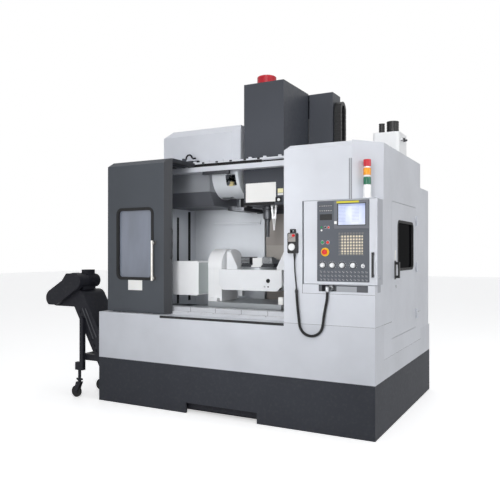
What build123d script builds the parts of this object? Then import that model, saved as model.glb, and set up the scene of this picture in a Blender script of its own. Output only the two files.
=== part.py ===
from build123d import *
from math import cos, radians, sin, sqrt
import os

# Sizes are in millimetres. While the pieces are drawn, x is 0 at the right side of the base and
# runs negative to the left, y is 0 at the front of the base, and z is 0 on the floor.

# General sheet and running gaps
SHEET = 4.0
WALL = 25.0
RUN_GAP = 3.0
FIT_GAP = 0.05
SEAT_GAP = 0.3

# Base and apron
BASE_WIDTH = 2670.0
BASE_DEPTH = 1944.0
SKIRT_TOP = 410.0
APRON_TOP = 838.0
SIDE_APRON_TOP = 567.0
REAR_APRON_TOP = 667.0
FRONT_CORNER_DEPTH = 243.0
FORK_NOTCH_X0 = -1682.0
FORK_NOTCH_X1 = -985.0
FORK_NOTCH_TOP = 90.0
APRON_LEDGE_DEPTH = 106.0
APRON_LEDGE_THICK = 20.0
TRACK_X0 = -1963.0
TRACK_X1 = -742.0
TRACK_HEIGHT = 20.0
FOOT_RADIUS = 45.0
FOOT_HEIGHT = 60.0

# Enclosure
ENCLOSURE_INSET = 53.0
ENCLOSURE_X0 = -BASE_WIDTH + ENCLOSURE_INSET
ENCLOSURE_TOP = 2248.0
FIXED_PANEL_Y = 112.0
FIXED_PANEL_X1 = -1985.0
FIXED_PANEL_TOP = 2195.0
JAMB_BACK_Y = 190.0
LEFT_WALL_DEPTH = 254.0
INNER_LEFT_X = ENCLOSURE_X0 + LEFT_WALL_DEPTH
INNER_RIGHT_X = -150.0
INNER_BACK_Y = 1190.0
INNER_TOP = 2160.0
INNER_BOTTOM = 640.0
ENCLOSURE_BACK_Y = 1524.0
HEAD_SLOT_X0 = -1512.0
HEAD_SLOT_X1 = -1024.0
SILL_STEP_Y = 150.0
SILL_LOW_TOP = 868.0
SILL_TOP = 905.0
SILL_BACK_Y = 258.0
SILL_THICK = 12.0

# Cabinet on the right
CABINET_X0 = -740.0
CABINET_BEVEL_X = -175.0
CABINET_BEVEL_Y = 230.0
LEDGE_Z = 1800.0
LEDGE_THICK = 6.0
CABINET_TOP_CHAMFER = 38.0
RECESS_X0 = -580.0
RECESS_BOTTOM = 1153.0
RECESS_DEPTH = 146.0
POCKET_X0 = -420.0
POCKET_X1 = -300.0
POCKET_DEPTH = 70.0
POCKET_BOTTOM = 1096.0
POCKET_TOP = 1148.0
GROOVE_POSITIONS = (-196.0, -182.0)
GROOVE_WIDTH = 5.0
GROOVE_DEPTH = 6.0
DOOR_POCKET_Y1 = 486.0
DOOR_POCKET_X1 = -14.0
DOOR_POCKET_TOP = 2238.0

# Cross beam over the doors
BEAM_Y0 = 475.0
BEAM_Y1 = 560.0
BEAM_Z0 = 2167.0
BEAM_Z1 = 2255.0
BEAM_SLOT_Z0 = 2213.0
BEAM_SLOT_Z1 = 2240.0
BEAM_SLOT_DEPTH = 22.0
CLIP_PITCH = 150.0
CLIP_COUNT = 15
CLIP_SIZE = 26.0

# Sliding doors
DOOR_THICK = 45.0
LEFT_DOOR_Y = 60.0
LEFT_DOOR_X0 = ENCLOSURE_X0
LEFT_DOOR_X1 = -1897.0
DOOR_BEVEL = 66.0
LEFT_DOOR_BOTTOM = 845.0
LEFT_DOOR_TOP = 2250.0
LEFT_ROOF_THICK = 34.0
DOOR_CHAMFER = 40.0
WINDOW_WIDTH = 407.0
WINDOW_SIDE = 122.0
WINDOW_X0 = LEFT_DOOR_X0 + WINDOW_SIDE
WINDOW_X1 = WINDOW_X0 + WINDOW_WIDTH
WINDOW_Z0 = 1155.0
WINDOW_Z1 = 1800.0
WINDOW_CORNER = 45.0
PANE_THICK = 12.0
RIGHT_DOOR_Y = 156.0
RIGHT_DOOR_THICK = 40.0
RIGHT_DOOR_X0 = -741.0
RIGHT_DOOR_X1 = -22.0
RIGHT_DOOR_BOTTOM = 908.0
RIGHT_DOOR_TOP = 2234.0
RIGHT_ROOF_THICK = 26.0
RIGHT_LIP = 15.0
ROOF_RIB_COUNT = 6
ROOF_RIB_HEIGHT = 9.0
HANDLE_SETBACK = 168.0
HANDLE_X = LEFT_DOOR_X1 - HANDLE_SETBACK
HANDLE_Z0 = 1142.0
HANDLE_Z1 = 1505.0
HANDLE_RADIUS = 12.0
HANDLE_STANDOFF = 38.0

# Side door
SIDE_DOOR_Y0 = 470.0
SIDE_DOOR_Y1 = 1330.0
SIDE_DOOR_Z0 = 700.0
SIDE_DOOR_Z1 = 1815.0
SIDE_DOOR_THICK = 40.0
SIDE_WINDOW_Y0 = 667.0
SIDE_WINDOW_Y1 = 1215.0
SIDE_WINDOW_Z0 = 1253.0
SIDE_WINDOW_Z1 = 1660.0
HINGE_OUT = 10.0
HINGE_SETBACK = 2.0
HINGE_RADIUS = 7.0
HINGE_LENGTH = 90.0
SIDE_HINGE_HEIGHTS = (830.0, 1260.0, 1690.0)
SIDE_HANDLE_Y = 571.0
SIDE_HANDLE_Z0 = 1179.0
SIDE_HANDLE_Z1 = 1327.0

# Operator panel
PANEL_X0 = -570.0
PANEL_X1 = 20.0
PANEL_Y0 = -6.0
PANEL_Y1 = 140.0
PANEL_Z0 = 1156.0
PANEL_Z1 = 1797.0
PANEL_EDGE = 8.0
PANEL_PIN_X = -560.0
PANEL_PIN_Y = 8.0
PANEL_PIN_RADIUS = 5.0
PANEL_PIN_LENGTH = 22.0
FACE_X0 = -455.0
FACE_X1 = -41.0
FACE_Z0 = 1175.0
FACE_RECESS = 4.0
SCREEN_FRAME_X0 = -316.0
SCREEN_FRAME_X1 = -46.0
SCREEN_FRAME_Z0 = 1579.0
SCREEN_FRAME_Z1 = 1790.0
SCREEN_X0 = -283.0
SCREEN_X1 = -72.0
SCREEN_Z0 = 1606.0
SCREEN_Z1 = 1764.0
SCREEN_THICK = 3.0
KEYPAD_X0 = -286.0
KEYPAD_X1 = -77.0
KEYPAD_Z0 = 1372.0
KEYPAD_Z1 = 1553.0
KEY_SIZE = 15.0
KEY_PITCH = 22.5
KEY_HEIGHT = 3.0
MEMBRANE_Z = (1190.0, 1220.0, 1250.0)
MEMBRANE_X0 = -425.0
MEMBRANE_PITCH = 30.0
MEMBRANE_COUNT = 13
PULL_X = -12.0
PULL_Z0 = 1213.0
PULL_Z1 = 1398.0
ESTOP_X = -390.0
ESTOP_Z = 1401.0
ESTOP_RING_RADIUS = 33.0
ESTOP_RADIUS = 21.0
ESTOP_TRAVEL = 6.0
KNOB_X = (-411.0, -333.0, -254.0, -169.0)
KNOB_Z = 1300.0
KNOB_RADIUS = 19.0
KNOB_LENGTH = 20.0
STEM_RADIUS = 6.0
STEM_LENGTH = 22.0
BUTTON_RADIUS = 11.0
BUTTON_TRAVEL = 4.0
CYCLE_X = -412.0
HOLD_X = -368.0
BUTTON_Z = 1475.0
KEY_SWITCH_X = -92.0
KEY_SWITCH_Z = 1297.0

# Hand pendant
PENDANT_X0 = -689.0
PENDANT_X1 = -613.0
PENDANT_DEPTH = 46.0
PENDANT_Z0 = 1390.0
PENDANT_Z1 = 1552.0
PENDANT_WHEEL_RADIUS = 27.0
PENDANT_WHEEL_Z = 1440.0
CABLE_RADIUS = 5.0
SLEEVE_RADIUS = 11.0
CORD_Y = -30.0
CABLE_X = -635.0
SLEEVE_TOP = 1101.0
LOOP_X = -497.0
LOOP_Z = 850.0
LOOP_RADIUS = 101.0
ELBOW_X = -363.0
ELBOW_Z = 1122.0
ELBOW_RADIUS = 16.0

# Signal tower
TOWER_X = -76.0
TOWER_Y = 55.0
TOWER_RADIUS = 29.0
TOWER_BANDS = ((1909.0, 1964.0), (1980.0, 2032.0), (2044.0, 2098.0))
TOWER_NECK = 24.0

# Bed, saddle and table
BED_X0 = -1900.0
BED_X1 = -620.0
BED_Y0 = 60.0
BED_TOP = 640.0
Y_RAIL_X = (-1750.0, -770.0)
Y_RAIL_Y0 = 262.0
Y_RAIL_Y1 = 1180.0
RAIL_WIDTH = 45.0
RAIL_HEIGHT = 32.0
RUNNER_GAP = 0.5
SADDLE_Y0 = 332.0
SADDLE_Y1 = 778.0
SADDLE_Z0 = 700.0
SADDLE_TOP = 790.0
CARRIER_X0 = INNER_LEFT_X + 13.0
CARRIER_X1 = -162.0
CARRIER_TOP = 806.0
CARRIER_WIDTH = 20.0
X_RAIL_Y = (400.0, 710.0)
TABLE_X0 = -1640.0
TABLE_X1 = -905.0
TABLE_Y0 = 300.0
TABLE_Y1 = 790.0
TABLE_TOP = 950.0
TABLE_SLAB = 45.0
BLOCK_X0 = -1560.0
BLOCK_X1 = -1060.0
SLOT_COUNT = 4
SLOT_WIDTH = 18.0
SLOT_DEPTH = 24.0
SLOT_PITCH = 110.0
COVER_LENGTH = 450.0
COVER_STEP = 3.6
COVER_TOP = 866.0
COVER_SHEET = 3.0
Y_COVER_LENGTH = 266.0
Y_COVER_FRONT = 52.0
Y_COVER_TOP = 690.0

# Tilting rotary unit on the table
TILT_Y = 560.0
TILT_Z = 1275.0
HOUSING_X0 = -1709.0
HOUSING_X1 = -1560.0
HOUSING_RADIUS = 155.0
MOTOR_BOX_X0 = -1996.0
MOTOR_BOX_Y0 = 250.0
MOTOR_BOX_Y1 = 570.0
MOTOR_BOX_Z0 = 1006.0
MOTOR_BOX_Z1 = 1318.0
MOTOR_BOX_EDGE = 22.0
FOOT_Y0 = 430.0
FOOT_Y1 = 690.0
TAIL_X0 = -905.0
TAIL_X1 = -790.0
TAIL_RADIUS = 128.0
TRUNNION_RADIUS = 55.0
TRUNNION_DEPTH = 60.0
CRADLE_X0 = -1545.0
CRADLE_X1 = -915.0
CRADLE_Y0 = 330.0
CRADLE_Y1 = 760.0
CRADLE_Z0 = 1060.0
CRADLE_Z1 = 1244.0
CRADLE_BEVEL = 46.0
SPOUT_X = -1425.0
SPOUT_WIDTH = 44.0
SPOUT_LENGTH = 64.0
ARM_Y0 = 470.0
ARM_Y1 = 650.0
ARM_TOP_X = 30.0
ARM_FOOT_X = 113.0
ARM_ROUND = 155.0
PLATE_X = -1240.0
PLATE_RADIUS = 165.0
PLATE_TOP = 1265.0
PLATE_SLOTS = 6
PIVOT_RADIUS = 60.0
PIVOT_LENGTH = 70.0
VISE_LENGTH = 330.0
VISE_Y0 = 480.0
VISE_Y1 = 640.0
VISE_BASE_TOP = 1296.0
VISE_TOP = 1356.0

# Head and column
SPINDLE_X = -1304.0
SPINDLE_Y = 850.0
HEAD_X0 = -1464.0
HEAD_X1 = -1049.0
HEAD_Y0 = 660.0
HEAD_Y1 = 1251.0
HEAD_Z0 = 1842.0
HEAD_Z1 = 2992.0
HEAD_COVER_SHEET = 5.0
NOSE_RADIUS = 88.0
HEAD_BODY_Z0 = 1900.0
HEAD_BODY_Z1 = 2572.0
HEAD_LIP = 6.0
LAMP_DEPTH = 12.0
SPINDLE_TOP = 1988.0
MOTOR_RADIUS = 93.0
MOTOR_TOP = 3096.0
FLANGE_RADIUS = 56.0
FLANGE_Z0 = 1798.0
FLANGE_Z1 = 1828.0
HOLDER_BOTTOM = 1690.0
TOOL_RADIUS = 17.0
TOOL_TIP = 1547.0
COLUMN_X0 = -1686.0
COLUMN_X1 = -826.0
COLUMN_Y0 = 1290.0
COLUMN_REAR_GAP = 84.0
COLUMN_Y1 = BASE_DEPTH - COLUMN_REAR_GAP
COLUMN_TOP = 2750.0
COLUMN_SHOULDER = 1500.0
COLUMN_NECK_Y = 1450.0
Z_RAIL_X = (-1410.0, -1103.0)
COLUMN_COVER_X0 = -1721.0
COLUMN_COVER_X1 = -791.0
COLUMN_COVER_Y0 = 1255.0
COLUMN_COVER_Y1 = 1475.0
COLUMN_COVER_TOP = 2983.0
Z_COVER_X0 = -1500.0
Z_COVER_X1 = -1036.0
Z_COVER_Y = 1196.0
Z_COVER_STEP = 3.5
Z_FIXED_TOP = 1100.0
Z_MIDDLE_Z0 = 1080.0
Z_MIDDLE_Z1 = 1500.0
Z_SKIRT_Z0 = 1470.0
Z_SKIRT_SHOULDER = 1790.0
CHAIN_X0 = -785.0
CHAIN_X1 = -716.0
CHAIN_Y = 1360.0
CHAIN_BEND = 62.0
CHAIN_LINK = 42.0
CHAIN_THICK = 36.0
CHAIN_TOP = 2900.0
CHAIN_LINKS = 26

# Tool changer
DRUM_Y = SPINDLE_Y
DRUM_Z = 2170.0
DRUM_RADIUS = 246.0
DRUM_X0 = -1792.0
DRUM_X1 = -1500.0
DISC_X0 = -1772.0
DISC_X1 = -1640.0
POT_COUNT = 16
POT_RADIUS = 30.0
POT_PITCH_RADIUS = 188.0
DRUM_SHAFT_RADIUS = 28.0
DRUM_WINDOW_X0 = -1640.0
DRUM_WINDOW_X1 = -1530.0
DRUM_WINDOW_Z0 = 2040.0
DRUM_WINDOW_Z1 = 2140.0
HOOD_X0 = INNER_LEFT_X + 8.0
HOOD_X1 = -1500.0
HOOD_Y0 = 596.0
HOOD_Y1 = 1150.0
HOOD_TOP = 2618.0
HOOD_CHAMFER = 70.0
GUARD_FRONT_Y = 568.0
GUARD_LIP_Z = 1990.0
GUARD_BOTTOM = 1850.0
GUARD_KNEE_Y = 660.0
GUARD_BACK_Y = 1100.0
CHANGER_X = -1538.0
CHANGER_HALF = SPINDLE_X - CHANGER_X
CHANGER_WIDTH = 58.0
CHANGER_Z0 = 1796.0
CHANGER_Z1 = 1830.0
CHANGER_JAW_GAP = 5.0
CHANGER_JAW_WALL = 8.0
GEARBOX_RADIUS = 60.0
GEARBOX_BOTTOM = 1836.0
CHANGER_SHAFT = 24.0

# Services
MIST_X0 = -300.0
MIST_X1 = -60.0
MIST_Y0 = 950.0
MIST_Y1 = 1250.0
MIST_TOP = 2473.0
MIST_EDGE = 30.0
ELECTRIC_X0 = -720.0
ELECTRIC_Y1 = 1886.0
ELECTRIC_TOP = 2020.0
ELECTRIC_WALL = 20.0
ELECTRIC_DOOR = 24.0

# Chip conveyor
CONVEYOR_Y0 = 10.0
CONVEYOR_Y1 = 310.0
INCLINE_ANGLE = 60.0
TROUGH_HEIGHT = 165.0
TROUGH_WALL = 6.0
CURVE_X = -BASE_WIDTH + 5.0
CURVE_Z = 290.0
HEAD_REACH = 570.0
HEAD_SHAFT_X = CURVE_X - HEAD_REACH
HEAD_SHAFT_Z = 950.5
HEAD_SHAFT_RADIUS = 16.0
SPROCKET_RADIUS = 58.0
HOOD_BACK_X = HEAD_SHAFT_X + 217.0
HOOD_PEAK_X = HEAD_SHAFT_X + 125.0
HOOD_PEAK_Z = 1190.0
DRIVE_COVER_RADIUS = 82.0
DRIVE_MOTOR_X = HEAD_SHAFT_X + 285.0
DRIVE_MOTOR_Z = 1120.0
DRIVE_COVER_THICK = 60.0
DRIVE_MOTOR_RADIUS = 65.0
DRIVE_MOTOR_LENGTH = 245.0
LEG_X = CURVE_X - 207.0
LEG_WIDTH = 40.0
LEG_BOTTOM = 265.0
LEG_Y = (-10.0, 330.0)
SOCKET_X0 = LEG_X - 76.0
SOCKET_X1 = LEG_X + 14.0
SOCKET_TOP = 340.0
CASTER_X = LEG_X - 36.0
CASTER_WHEEL_RADIUS = 55.0
CASTER_WHEEL_WIDTH = 30.0
CASTER_TRAIL = 38.0
CASTER_PLATE_Z = 150.0
FORK_CHEEK = 5.0
AXLE_RADIUS = 8.0


# Drawing helpers


def box(x0, x1, y0, y1, z0, z1):
    """A block between two opposite corners."""
    return Pos((x0 + x1) / 2, (y0 + y1) / 2, (z0 + z1) / 2) * Box(x1 - x0, y1 - y0, z1 - z0)


def prism_x(outline, x0, x1):
    """An outline of (y, z) points carried along x."""
    plane = Plane((x0, 0, 0), x_dir=(0, 1, 0), z_dir=(1, 0, 0))
    return extrude(plane * Polygon(*outline), x1 - x0, dir=(1, 0, 0))


def prism_y(outline, y0, y1):
    """An outline of (x, z) points carried along y."""
    plane = Plane((0, y0, 0), x_dir=(1, 0, 0), z_dir=(0, -1, 0))
    return extrude(plane * Polygon(*outline), y1 - y0, dir=(0, 1, 0))


def prism_z(outline, z0, z1):
    """An outline of (x, y) points carried along z."""
    plane = Plane((0, 0, z0))
    return extrude(plane * Polygon(*outline), z1 - z0, dir=(0, 0, 1))


def rod_x(y, z, radius, x0, x1):
    """A round bar along x."""
    return Pos((x0 + x1) / 2, y, z) * Rot(0, 90, 0) * Cylinder(radius, x1 - x0)


def rod_y(x, z, radius, y0, y1):
    """A round bar along y."""
    return Pos(x, (y0 + y1) / 2, z) * Rot(90, 0, 0) * Cylinder(radius, y1 - y0)


def rod_z(x, y, radius, z0, z1):
    """A round bar along z."""
    return Pos(x, y, (z0 + z1) / 2) * Cylinder(radius, z1 - z0)


def rounded_y(x0, x1, y0, y1, z0, z1, corner):
    """A plate across y with round corners."""
    face = RectangleRounded(x1 - x0, z1 - z0, corner)
    plane = Plane(((x0 + x1) / 2, y0, (z0 + z1) / 2), x_dir=(1, 0, 0), z_dir=(0, -1, 0))
    return extrude(plane * face, y1 - y0, dir=(0, 1, 0))


def rounded_x(x0, x1, y0, y1, z0, z1, corner):
    """A plate across x with round corners."""
    face = RectangleRounded(y1 - y0, z1 - z0, corner)
    plane = Plane((x0, (y0 + y1) / 2, (z0 + z1) / 2), x_dir=(0, 1, 0), z_dir=(1, 0, 0))
    return extrude(plane * face, x1 - x0, dir=(1, 0, 0))


def rounded_z(x0, x1, y0, y1, z0, z1, corner):
    """A block along z with round upright edges."""
    face = RectangleRounded(x1 - x0, y1 - y0, corner)
    plane = Plane(((x0 + x1) / 2, (y0 + y1) / 2, z0))
    return extrude(plane * face, z1 - z0, dir=(0, 0, 1))


def turned_z(profile, x, y):
    """A turned body about an upright axis, from (radius, z) points."""
    plane = Plane((x, y, 0), x_dir=(1, 0, 0), z_dir=(0, -1, 0))
    axis = Axis((x, y, 0), (0, 0, 1))
    return revolve(plane * Polygon(*profile), axis)


def turned_y(profile, x, z):
    """A turned body about an axis along y, from (radius, y) points."""
    plane = Plane((x, 0, z), x_dir=(1, 0, 0), z_dir=(0, 0, 1))
    axis = Axis((x, 0, z), (0, 1, 0))
    return revolve(plane * Polygon(*profile), axis)


def joined(pieces):
    """All pieces as one shape."""
    whole = pieces[0]
    for piece in pieces[1:]:
        whole = whole + piece
    return whole


# Base, bed and apron


def base_skirt():
    """The pan that the machine stands in, with the notch for a pallet truck."""
    pan = box(-BASE_WIDTH, 0, 0, BASE_DEPTH, 0, SKIRT_TOP)
    pan -= box(-BASE_WIDTH + WALL, -WALL, WALL, BASE_DEPTH - WALL, -1, SKIRT_TOP + 1)
    pan -= box(FORK_NOTCH_X0, FORK_NOTCH_X1, -1, WALL + 1, -1, FORK_NOTCH_TOP)
    return pan


def splash_apron():
    """The light cover round the base, higher in front than at the side."""
    front = prism_x(
        [(0, SKIRT_TOP), (WALL, SKIRT_TOP), (WALL, APRON_TOP - APRON_LEDGE_THICK),
         (APRON_LEDGE_DEPTH, APRON_TOP - APRON_LEDGE_THICK), (APRON_LEDGE_DEPTH, APRON_TOP),
         (0, APRON_TOP)],
        -BASE_WIDTH, 0)
    side = box(-WALL, 0, WALL, BASE_DEPTH, SKIRT_TOP, SIDE_APRON_TOP)
    side += box(-WALL, 0, WALL, FRONT_CORNER_DEPTH, SKIRT_TOP, APRON_TOP)
    side += box(-WALL, 0, ENCLOSURE_BACK_Y, BASE_DEPTH, SKIRT_TOP, REAR_APRON_TOP)
    left = box(-BASE_WIDTH, -BASE_WIDTH + WALL, WALL, ENCLOSURE_BACK_Y, SKIRT_TOP, APRON_TOP)
    left += box(-BASE_WIDTH, -BASE_WIDTH + WALL, WALL, BASE_DEPTH, SKIRT_TOP, REAR_APRON_TOP)
    left_top = box(-BASE_WIDTH, ENCLOSURE_X0 + WALL, WALL, ENCLOSURE_BACK_Y,
                   APRON_TOP - APRON_LEDGE_THICK, APRON_TOP)
    back = box(-BASE_WIDTH, 0, BASE_DEPTH - WALL, BASE_DEPTH, SKIRT_TOP, REAR_APRON_TOP)
    deck = box(-BASE_WIDTH + WALL, -WALL, ENCLOSURE_BACK_Y, BASE_DEPTH - WALL,
               REAR_APRON_TOP - SHEET, REAR_APRON_TOP)
    deck -= box(COLUMN_X0, COLUMN_X1, ENCLOSURE_BACK_Y - 1, COLUMN_Y1, SKIRT_TOP, APRON_TOP)
    apron = joined([front, side, left, left_top, back, deck])
    slot = box(TRACK_X0, TRACK_X1, -1, 3.0, APRON_TOP - TRACK_HEIGHT - 4.0, APRON_TOP - 4.0)
    return apron - slot


def machine_bed():
    """The cast bed with its feet and the two rails of the cross slide."""
    body = box(BED_X0, BED_X1, BED_Y0, COLUMN_Y1, FOOT_HEIGHT, BED_TOP)
    for x in (BED_X0, BED_X1):
        body = body - Pos(x, (BED_Y0 + COLUMN_Y0) / 2, (FOOT_HEIGHT + BED_TOP) / 2) * Box(
            220, 760, 300)
    for x in (BED_X0 + 120, (BED_X0 + BED_X1) / 2, BED_X1 - 120):
        for y in (BED_Y0 + 120, COLUMN_Y1 - 120):
            body += rod_z(x, y, FOOT_RADIUS, 0, FOOT_HEIGHT)
    for x in Y_RAIL_X:
        body += box(x - RAIL_WIDTH / 2, x + RAIL_WIDTH / 2, Y_RAIL_Y0, Y_RAIL_Y1,
                    BED_TOP, BED_TOP + RAIL_HEIGHT)
    return body


def door_sill():
    """The stepped white sill with the tracks of both doors."""
    profile = [
        (APRON_LEDGE_DEPTH + 4.0, APRON_TOP), (APRON_LEDGE_DEPTH + 4.0, SILL_LOW_TOP),
        (SILL_STEP_Y, SILL_LOW_TOP), (SILL_STEP_Y, SILL_TOP), (SILL_BACK_Y, SILL_TOP),
        (SILL_BACK_Y, Y_COVER_TOP + 20.0), (SILL_BACK_Y - SILL_THICK, Y_COVER_TOP + 20.0),
        (SILL_BACK_Y - SILL_THICK, SILL_TOP - SILL_THICK),
        (SILL_STEP_Y + SILL_THICK, SILL_TOP - SILL_THICK),
        (SILL_STEP_Y + SILL_THICK, APRON_TOP)]
    sill = prism_x(profile, FIXED_PANEL_X1, CABINET_X0)
    under = box(FIXED_PANEL_X1, CABINET_X0, APRON_LEDGE_DEPTH, SILL_STEP_Y + SILL_THICK,
                APRON_TOP - APRON_LEDGE_THICK, APRON_TOP)
    return sill + under


# Enclosure


def inner_guard():
    """The folded lining of the work space, with the fixed panel behind the left door."""
    left_outer = box(ENCLOSURE_X0, ENCLOSURE_X0 + 17.0, FIXED_PANEL_Y + 18.0, ENCLOSURE_BACK_Y,
                     APRON_TOP, FIXED_PANEL_TOP)
    fixed = box(ENCLOSURE_X0, FIXED_PANEL_X1, FIXED_PANEL_Y, FIXED_PANEL_Y + 18.0,
                APRON_TOP, FIXED_PANEL_TOP)
    jamb = box(FIXED_PANEL_X1 - 18.0, FIXED_PANEL_X1, FIXED_PANEL_Y + 18.0, JAMB_BACK_Y,
               APRON_TOP, FIXED_PANEL_TOP)
    left_inner = prism_x(
        [(FIXED_PANEL_Y + 18.0, APRON_TOP), (SILL_BACK_Y, APRON_TOP), (SILL_BACK_Y + 20, INNER_BOTTOM),
         (INNER_BACK_Y, INNER_BOTTOM), (INNER_BACK_Y, INNER_TOP), (FIXED_PANEL_Y + 18.0, INNER_TOP)],
        INNER_LEFT_X - 18.0, INNER_LEFT_X)
    back = box(INNER_LEFT_X - 18.0, INNER_RIGHT_X, INNER_BACK_Y, INNER_BACK_Y + 18.0,
               INNER_BOTTOM, INNER_TOP)
    back -= box(HEAD_SLOT_X0, HEAD_SLOT_X1, INNER_BACK_Y - 1, INNER_BACK_Y + 19.0,
                SADDLE_TOP, INNER_TOP + 1)
    rim = prism_x(
        [(INNER_BACK_Y, 1740), (INNER_BACK_Y - 14, 1740), (INNER_BACK_Y - 14, 1716),
         (INNER_BACK_Y - 26, 1704), (INNER_BACK_Y - 26, 1690), (INNER_BACK_Y, 1690)],
        INNER_LEFT_X + 250.0, HEAD_SLOT_X0 - 40.0)
    roof = box(ENCLOSURE_X0, HOOD_X0, BEAM_Y1, ENCLOSURE_BACK_Y, INNER_TOP, INNER_TOP + 7.0)
    rear = box(ENCLOSURE_X0, COLUMN_COVER_X0, ENCLOSURE_BACK_Y - 18.0, ENCLOSURE_BACK_Y,
               APRON_TOP, INNER_TOP)
    side_floor = box(INNER_LEFT_X - 18.0, BED_X0 - 10.0, SILL_BACK_Y + 20, INNER_BACK_Y,
                     INNER_BOTTOM, INNER_BOTTOM + 6.0)
    right_floor = box(BED_X1 + 10.0, INNER_RIGHT_X, SILL_BACK_Y + 20, INNER_BACK_Y,
                      INNER_BOTTOM, INNER_BOTTOM + 6.0)
    y = Z_COVER_Y + 2 * Z_COVER_STEP
    lower_way = box(Z_COVER_X0 + 2 * Z_COVER_STEP, Z_COVER_X1 - 2 * Z_COVER_STEP, y, y + COVER_SHEET,
                    SADDLE_TOP - WALL, Z_FIXED_TOP)
    lining = joined([left_outer, fixed, jamb, left_inner, back, rim, roof, rear, side_floor, right_floor,
                     lower_way])
    return lining - box(ENCLOSURE_X0 - 1, 0, BEAM_Y0, BEAM_Y1, BEAM_Z0, BEAM_Z1)


def cabinet_outline():
    """Plan of the upper cabinet with its bevelled front corner."""
    return [
        (CABINET_X0, 0), (CABINET_BEVEL_X, 0), (0, CABINET_BEVEL_Y),
        (0, ENCLOSURE_BACK_Y), (CABINET_X0, ENCLOSURE_BACK_Y)]


def right_cabinet():
    """The housing at the right: panel recess, door pocket, side doorway and roof."""
    lower = box(CABINET_X0, 0, 0, ENCLOSURE_BACK_Y, APRON_TOP, LEDGE_Z)
    lower += box(CABINET_X0, 0, FRONT_CORNER_DEPTH, ENCLOSURE_BACK_Y, SIDE_APRON_TOP, APRON_TOP)
    upper = prism_z(cabinet_outline(), LEDGE_Z, ENCLOSURE_TOP)
    edge = prism_x(
        [(-1, ENCLOSURE_TOP - CABINET_TOP_CHAMFER), (CABINET_TOP_CHAMFER, ENCLOSURE_TOP + 1),
         (-1, ENCLOSURE_TOP + 1)], CABINET_X0 - 1, CABINET_BEVEL_X)
    corner = prism_y(
        [(CABINET_X0 - 1, ENCLOSURE_TOP - DOOR_CHAMFER), (CABINET_X0 + DOOR_CHAMFER, ENCLOSURE_TOP + 1),
         (CABINET_X0 - 1, ENCLOSURE_TOP + 1)], -1, 130)
    house = lower + (upper - edge - corner)
    door_pocket = box(CABINET_X0 - 1, DOOR_POCKET_X1, RECESS_DEPTH + SHEET, DOOR_POCKET_Y1,
                      SIDE_APRON_TOP - 1, DOOR_POCKET_TOP)
    door_pocket -= box(CABINET_BEVEL_X - 60, 1, 0, CABINET_BEVEL_Y + 20, LEDGE_Z, ENCLOSURE_TOP) - prism_z(
        [(CABINET_BEVEL_X - 60, 30), (CABINET_BEVEL_X - 20, 20), (-20, CABINET_BEVEL_Y),
         (-20, CABINET_BEVEL_Y + 30), (CABINET_BEVEL_X - 60, CABINET_BEVEL_Y + 30)],
        LEDGE_Z - 1, ENCLOSURE_TOP + 1)
    work_space = box(CABINET_X0 - 1, INNER_RIGHT_X, DOOR_POCKET_Y1 - 1, INNER_BACK_Y + 18.0,
                     SIDE_APRON_TOP - 1, DOOR_POCKET_TOP - 24.0)
    rear_space = box(CABINET_X0 - 1, INNER_RIGHT_X, INNER_BACK_Y + 10.0, ENCLOSURE_BACK_Y - 18.0,
                     SIDE_APRON_TOP - 1, DOOR_POCKET_TOP - 24.0)
    doorway = box(INNER_RIGHT_X - 1, 1, SIDE_DOOR_Y0, SIDE_DOOR_Y1, SIDE_DOOR_Z0, SIDE_DOOR_Z1)
    recess = box(RECESS_X0, 1, -1, RECESS_DEPTH, RECESS_BOTTOM, LEDGE_Z)
    plug_pocket = box(POCKET_X0, POCKET_X1, -1, POCKET_DEPTH, POCKET_BOTTOM, POCKET_TOP)
    front_space = box(CABINET_X0 + WALL, -WALL, WALL, RECESS_DEPTH - 20.0, APRON_TOP - 1,
                      POCKET_BOTTOM - WALL)
    chain_slot = box(CABINET_X0 - 1, CHAIN_X1 + 14.0, CHAIN_Y - CHAIN_BEND - 60.0,
                     ENCLOSURE_BACK_Y - 18.0, DOOR_POCKET_TOP - 30.0, ENCLOSURE_TOP + 1)
    bed_seat = box(CABINET_X0 - 1, BED_X1 + 10, INNER_BACK_Y, ENCLOSURE_BACK_Y + 1, SIDE_APRON_TOP - 1,
                   BED_TOP + 8)
    for cut in (door_pocket, work_space, rear_space, doorway, recess, plug_pocket, front_space,
                chain_slot, bed_seat, beam_seat()):
        house = house - cut
    for x in GROOVE_POSITIONS:
        house -= box(x - GROOVE_WIDTH / 2, x + GROOVE_WIDTH / 2, -1, GROOVE_DEPTH,
                     LEDGE_Z, ENCLOSURE_TOP - 140.0)
    ledge = [(CABINET_BEVEL_X - 1, 0), (0, 0), (0, CABINET_BEVEL_Y + 1), (-40, CABINET_BEVEL_Y + 1)]
    house += prism_z(ledge, LEDGE_Z, LEDGE_Z + LEDGE_THICK)
    house += box(CABINET_X0, DOOR_POCKET_X1, RECESS_DEPTH + SHEET, SILL_BACK_Y, SILL_TOP - SILL_THICK,
                 SILL_TOP)
    pin_reach = PANEL_PIN_LENGTH - 2
    for z0, z1 in ((RECESS_BOTTOM, PANEL_Z0 + pin_reach), (PANEL_Z1 - pin_reach, LEDGE_Z)):
        house += rod_z(PANEL_PIN_X, PANEL_PIN_Y, PANEL_PIN_RADIUS, z0, z1)
    return house + side_hinge_parts(False)


def beam_seat():
    """The cut in the cabinet for the end of the cross beam."""
    return box(CABINET_X0 - 1, -24.0, BEAM_Y0, BEAM_Y1, BEAM_Z0, BEAM_Z1 + 1)


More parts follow.
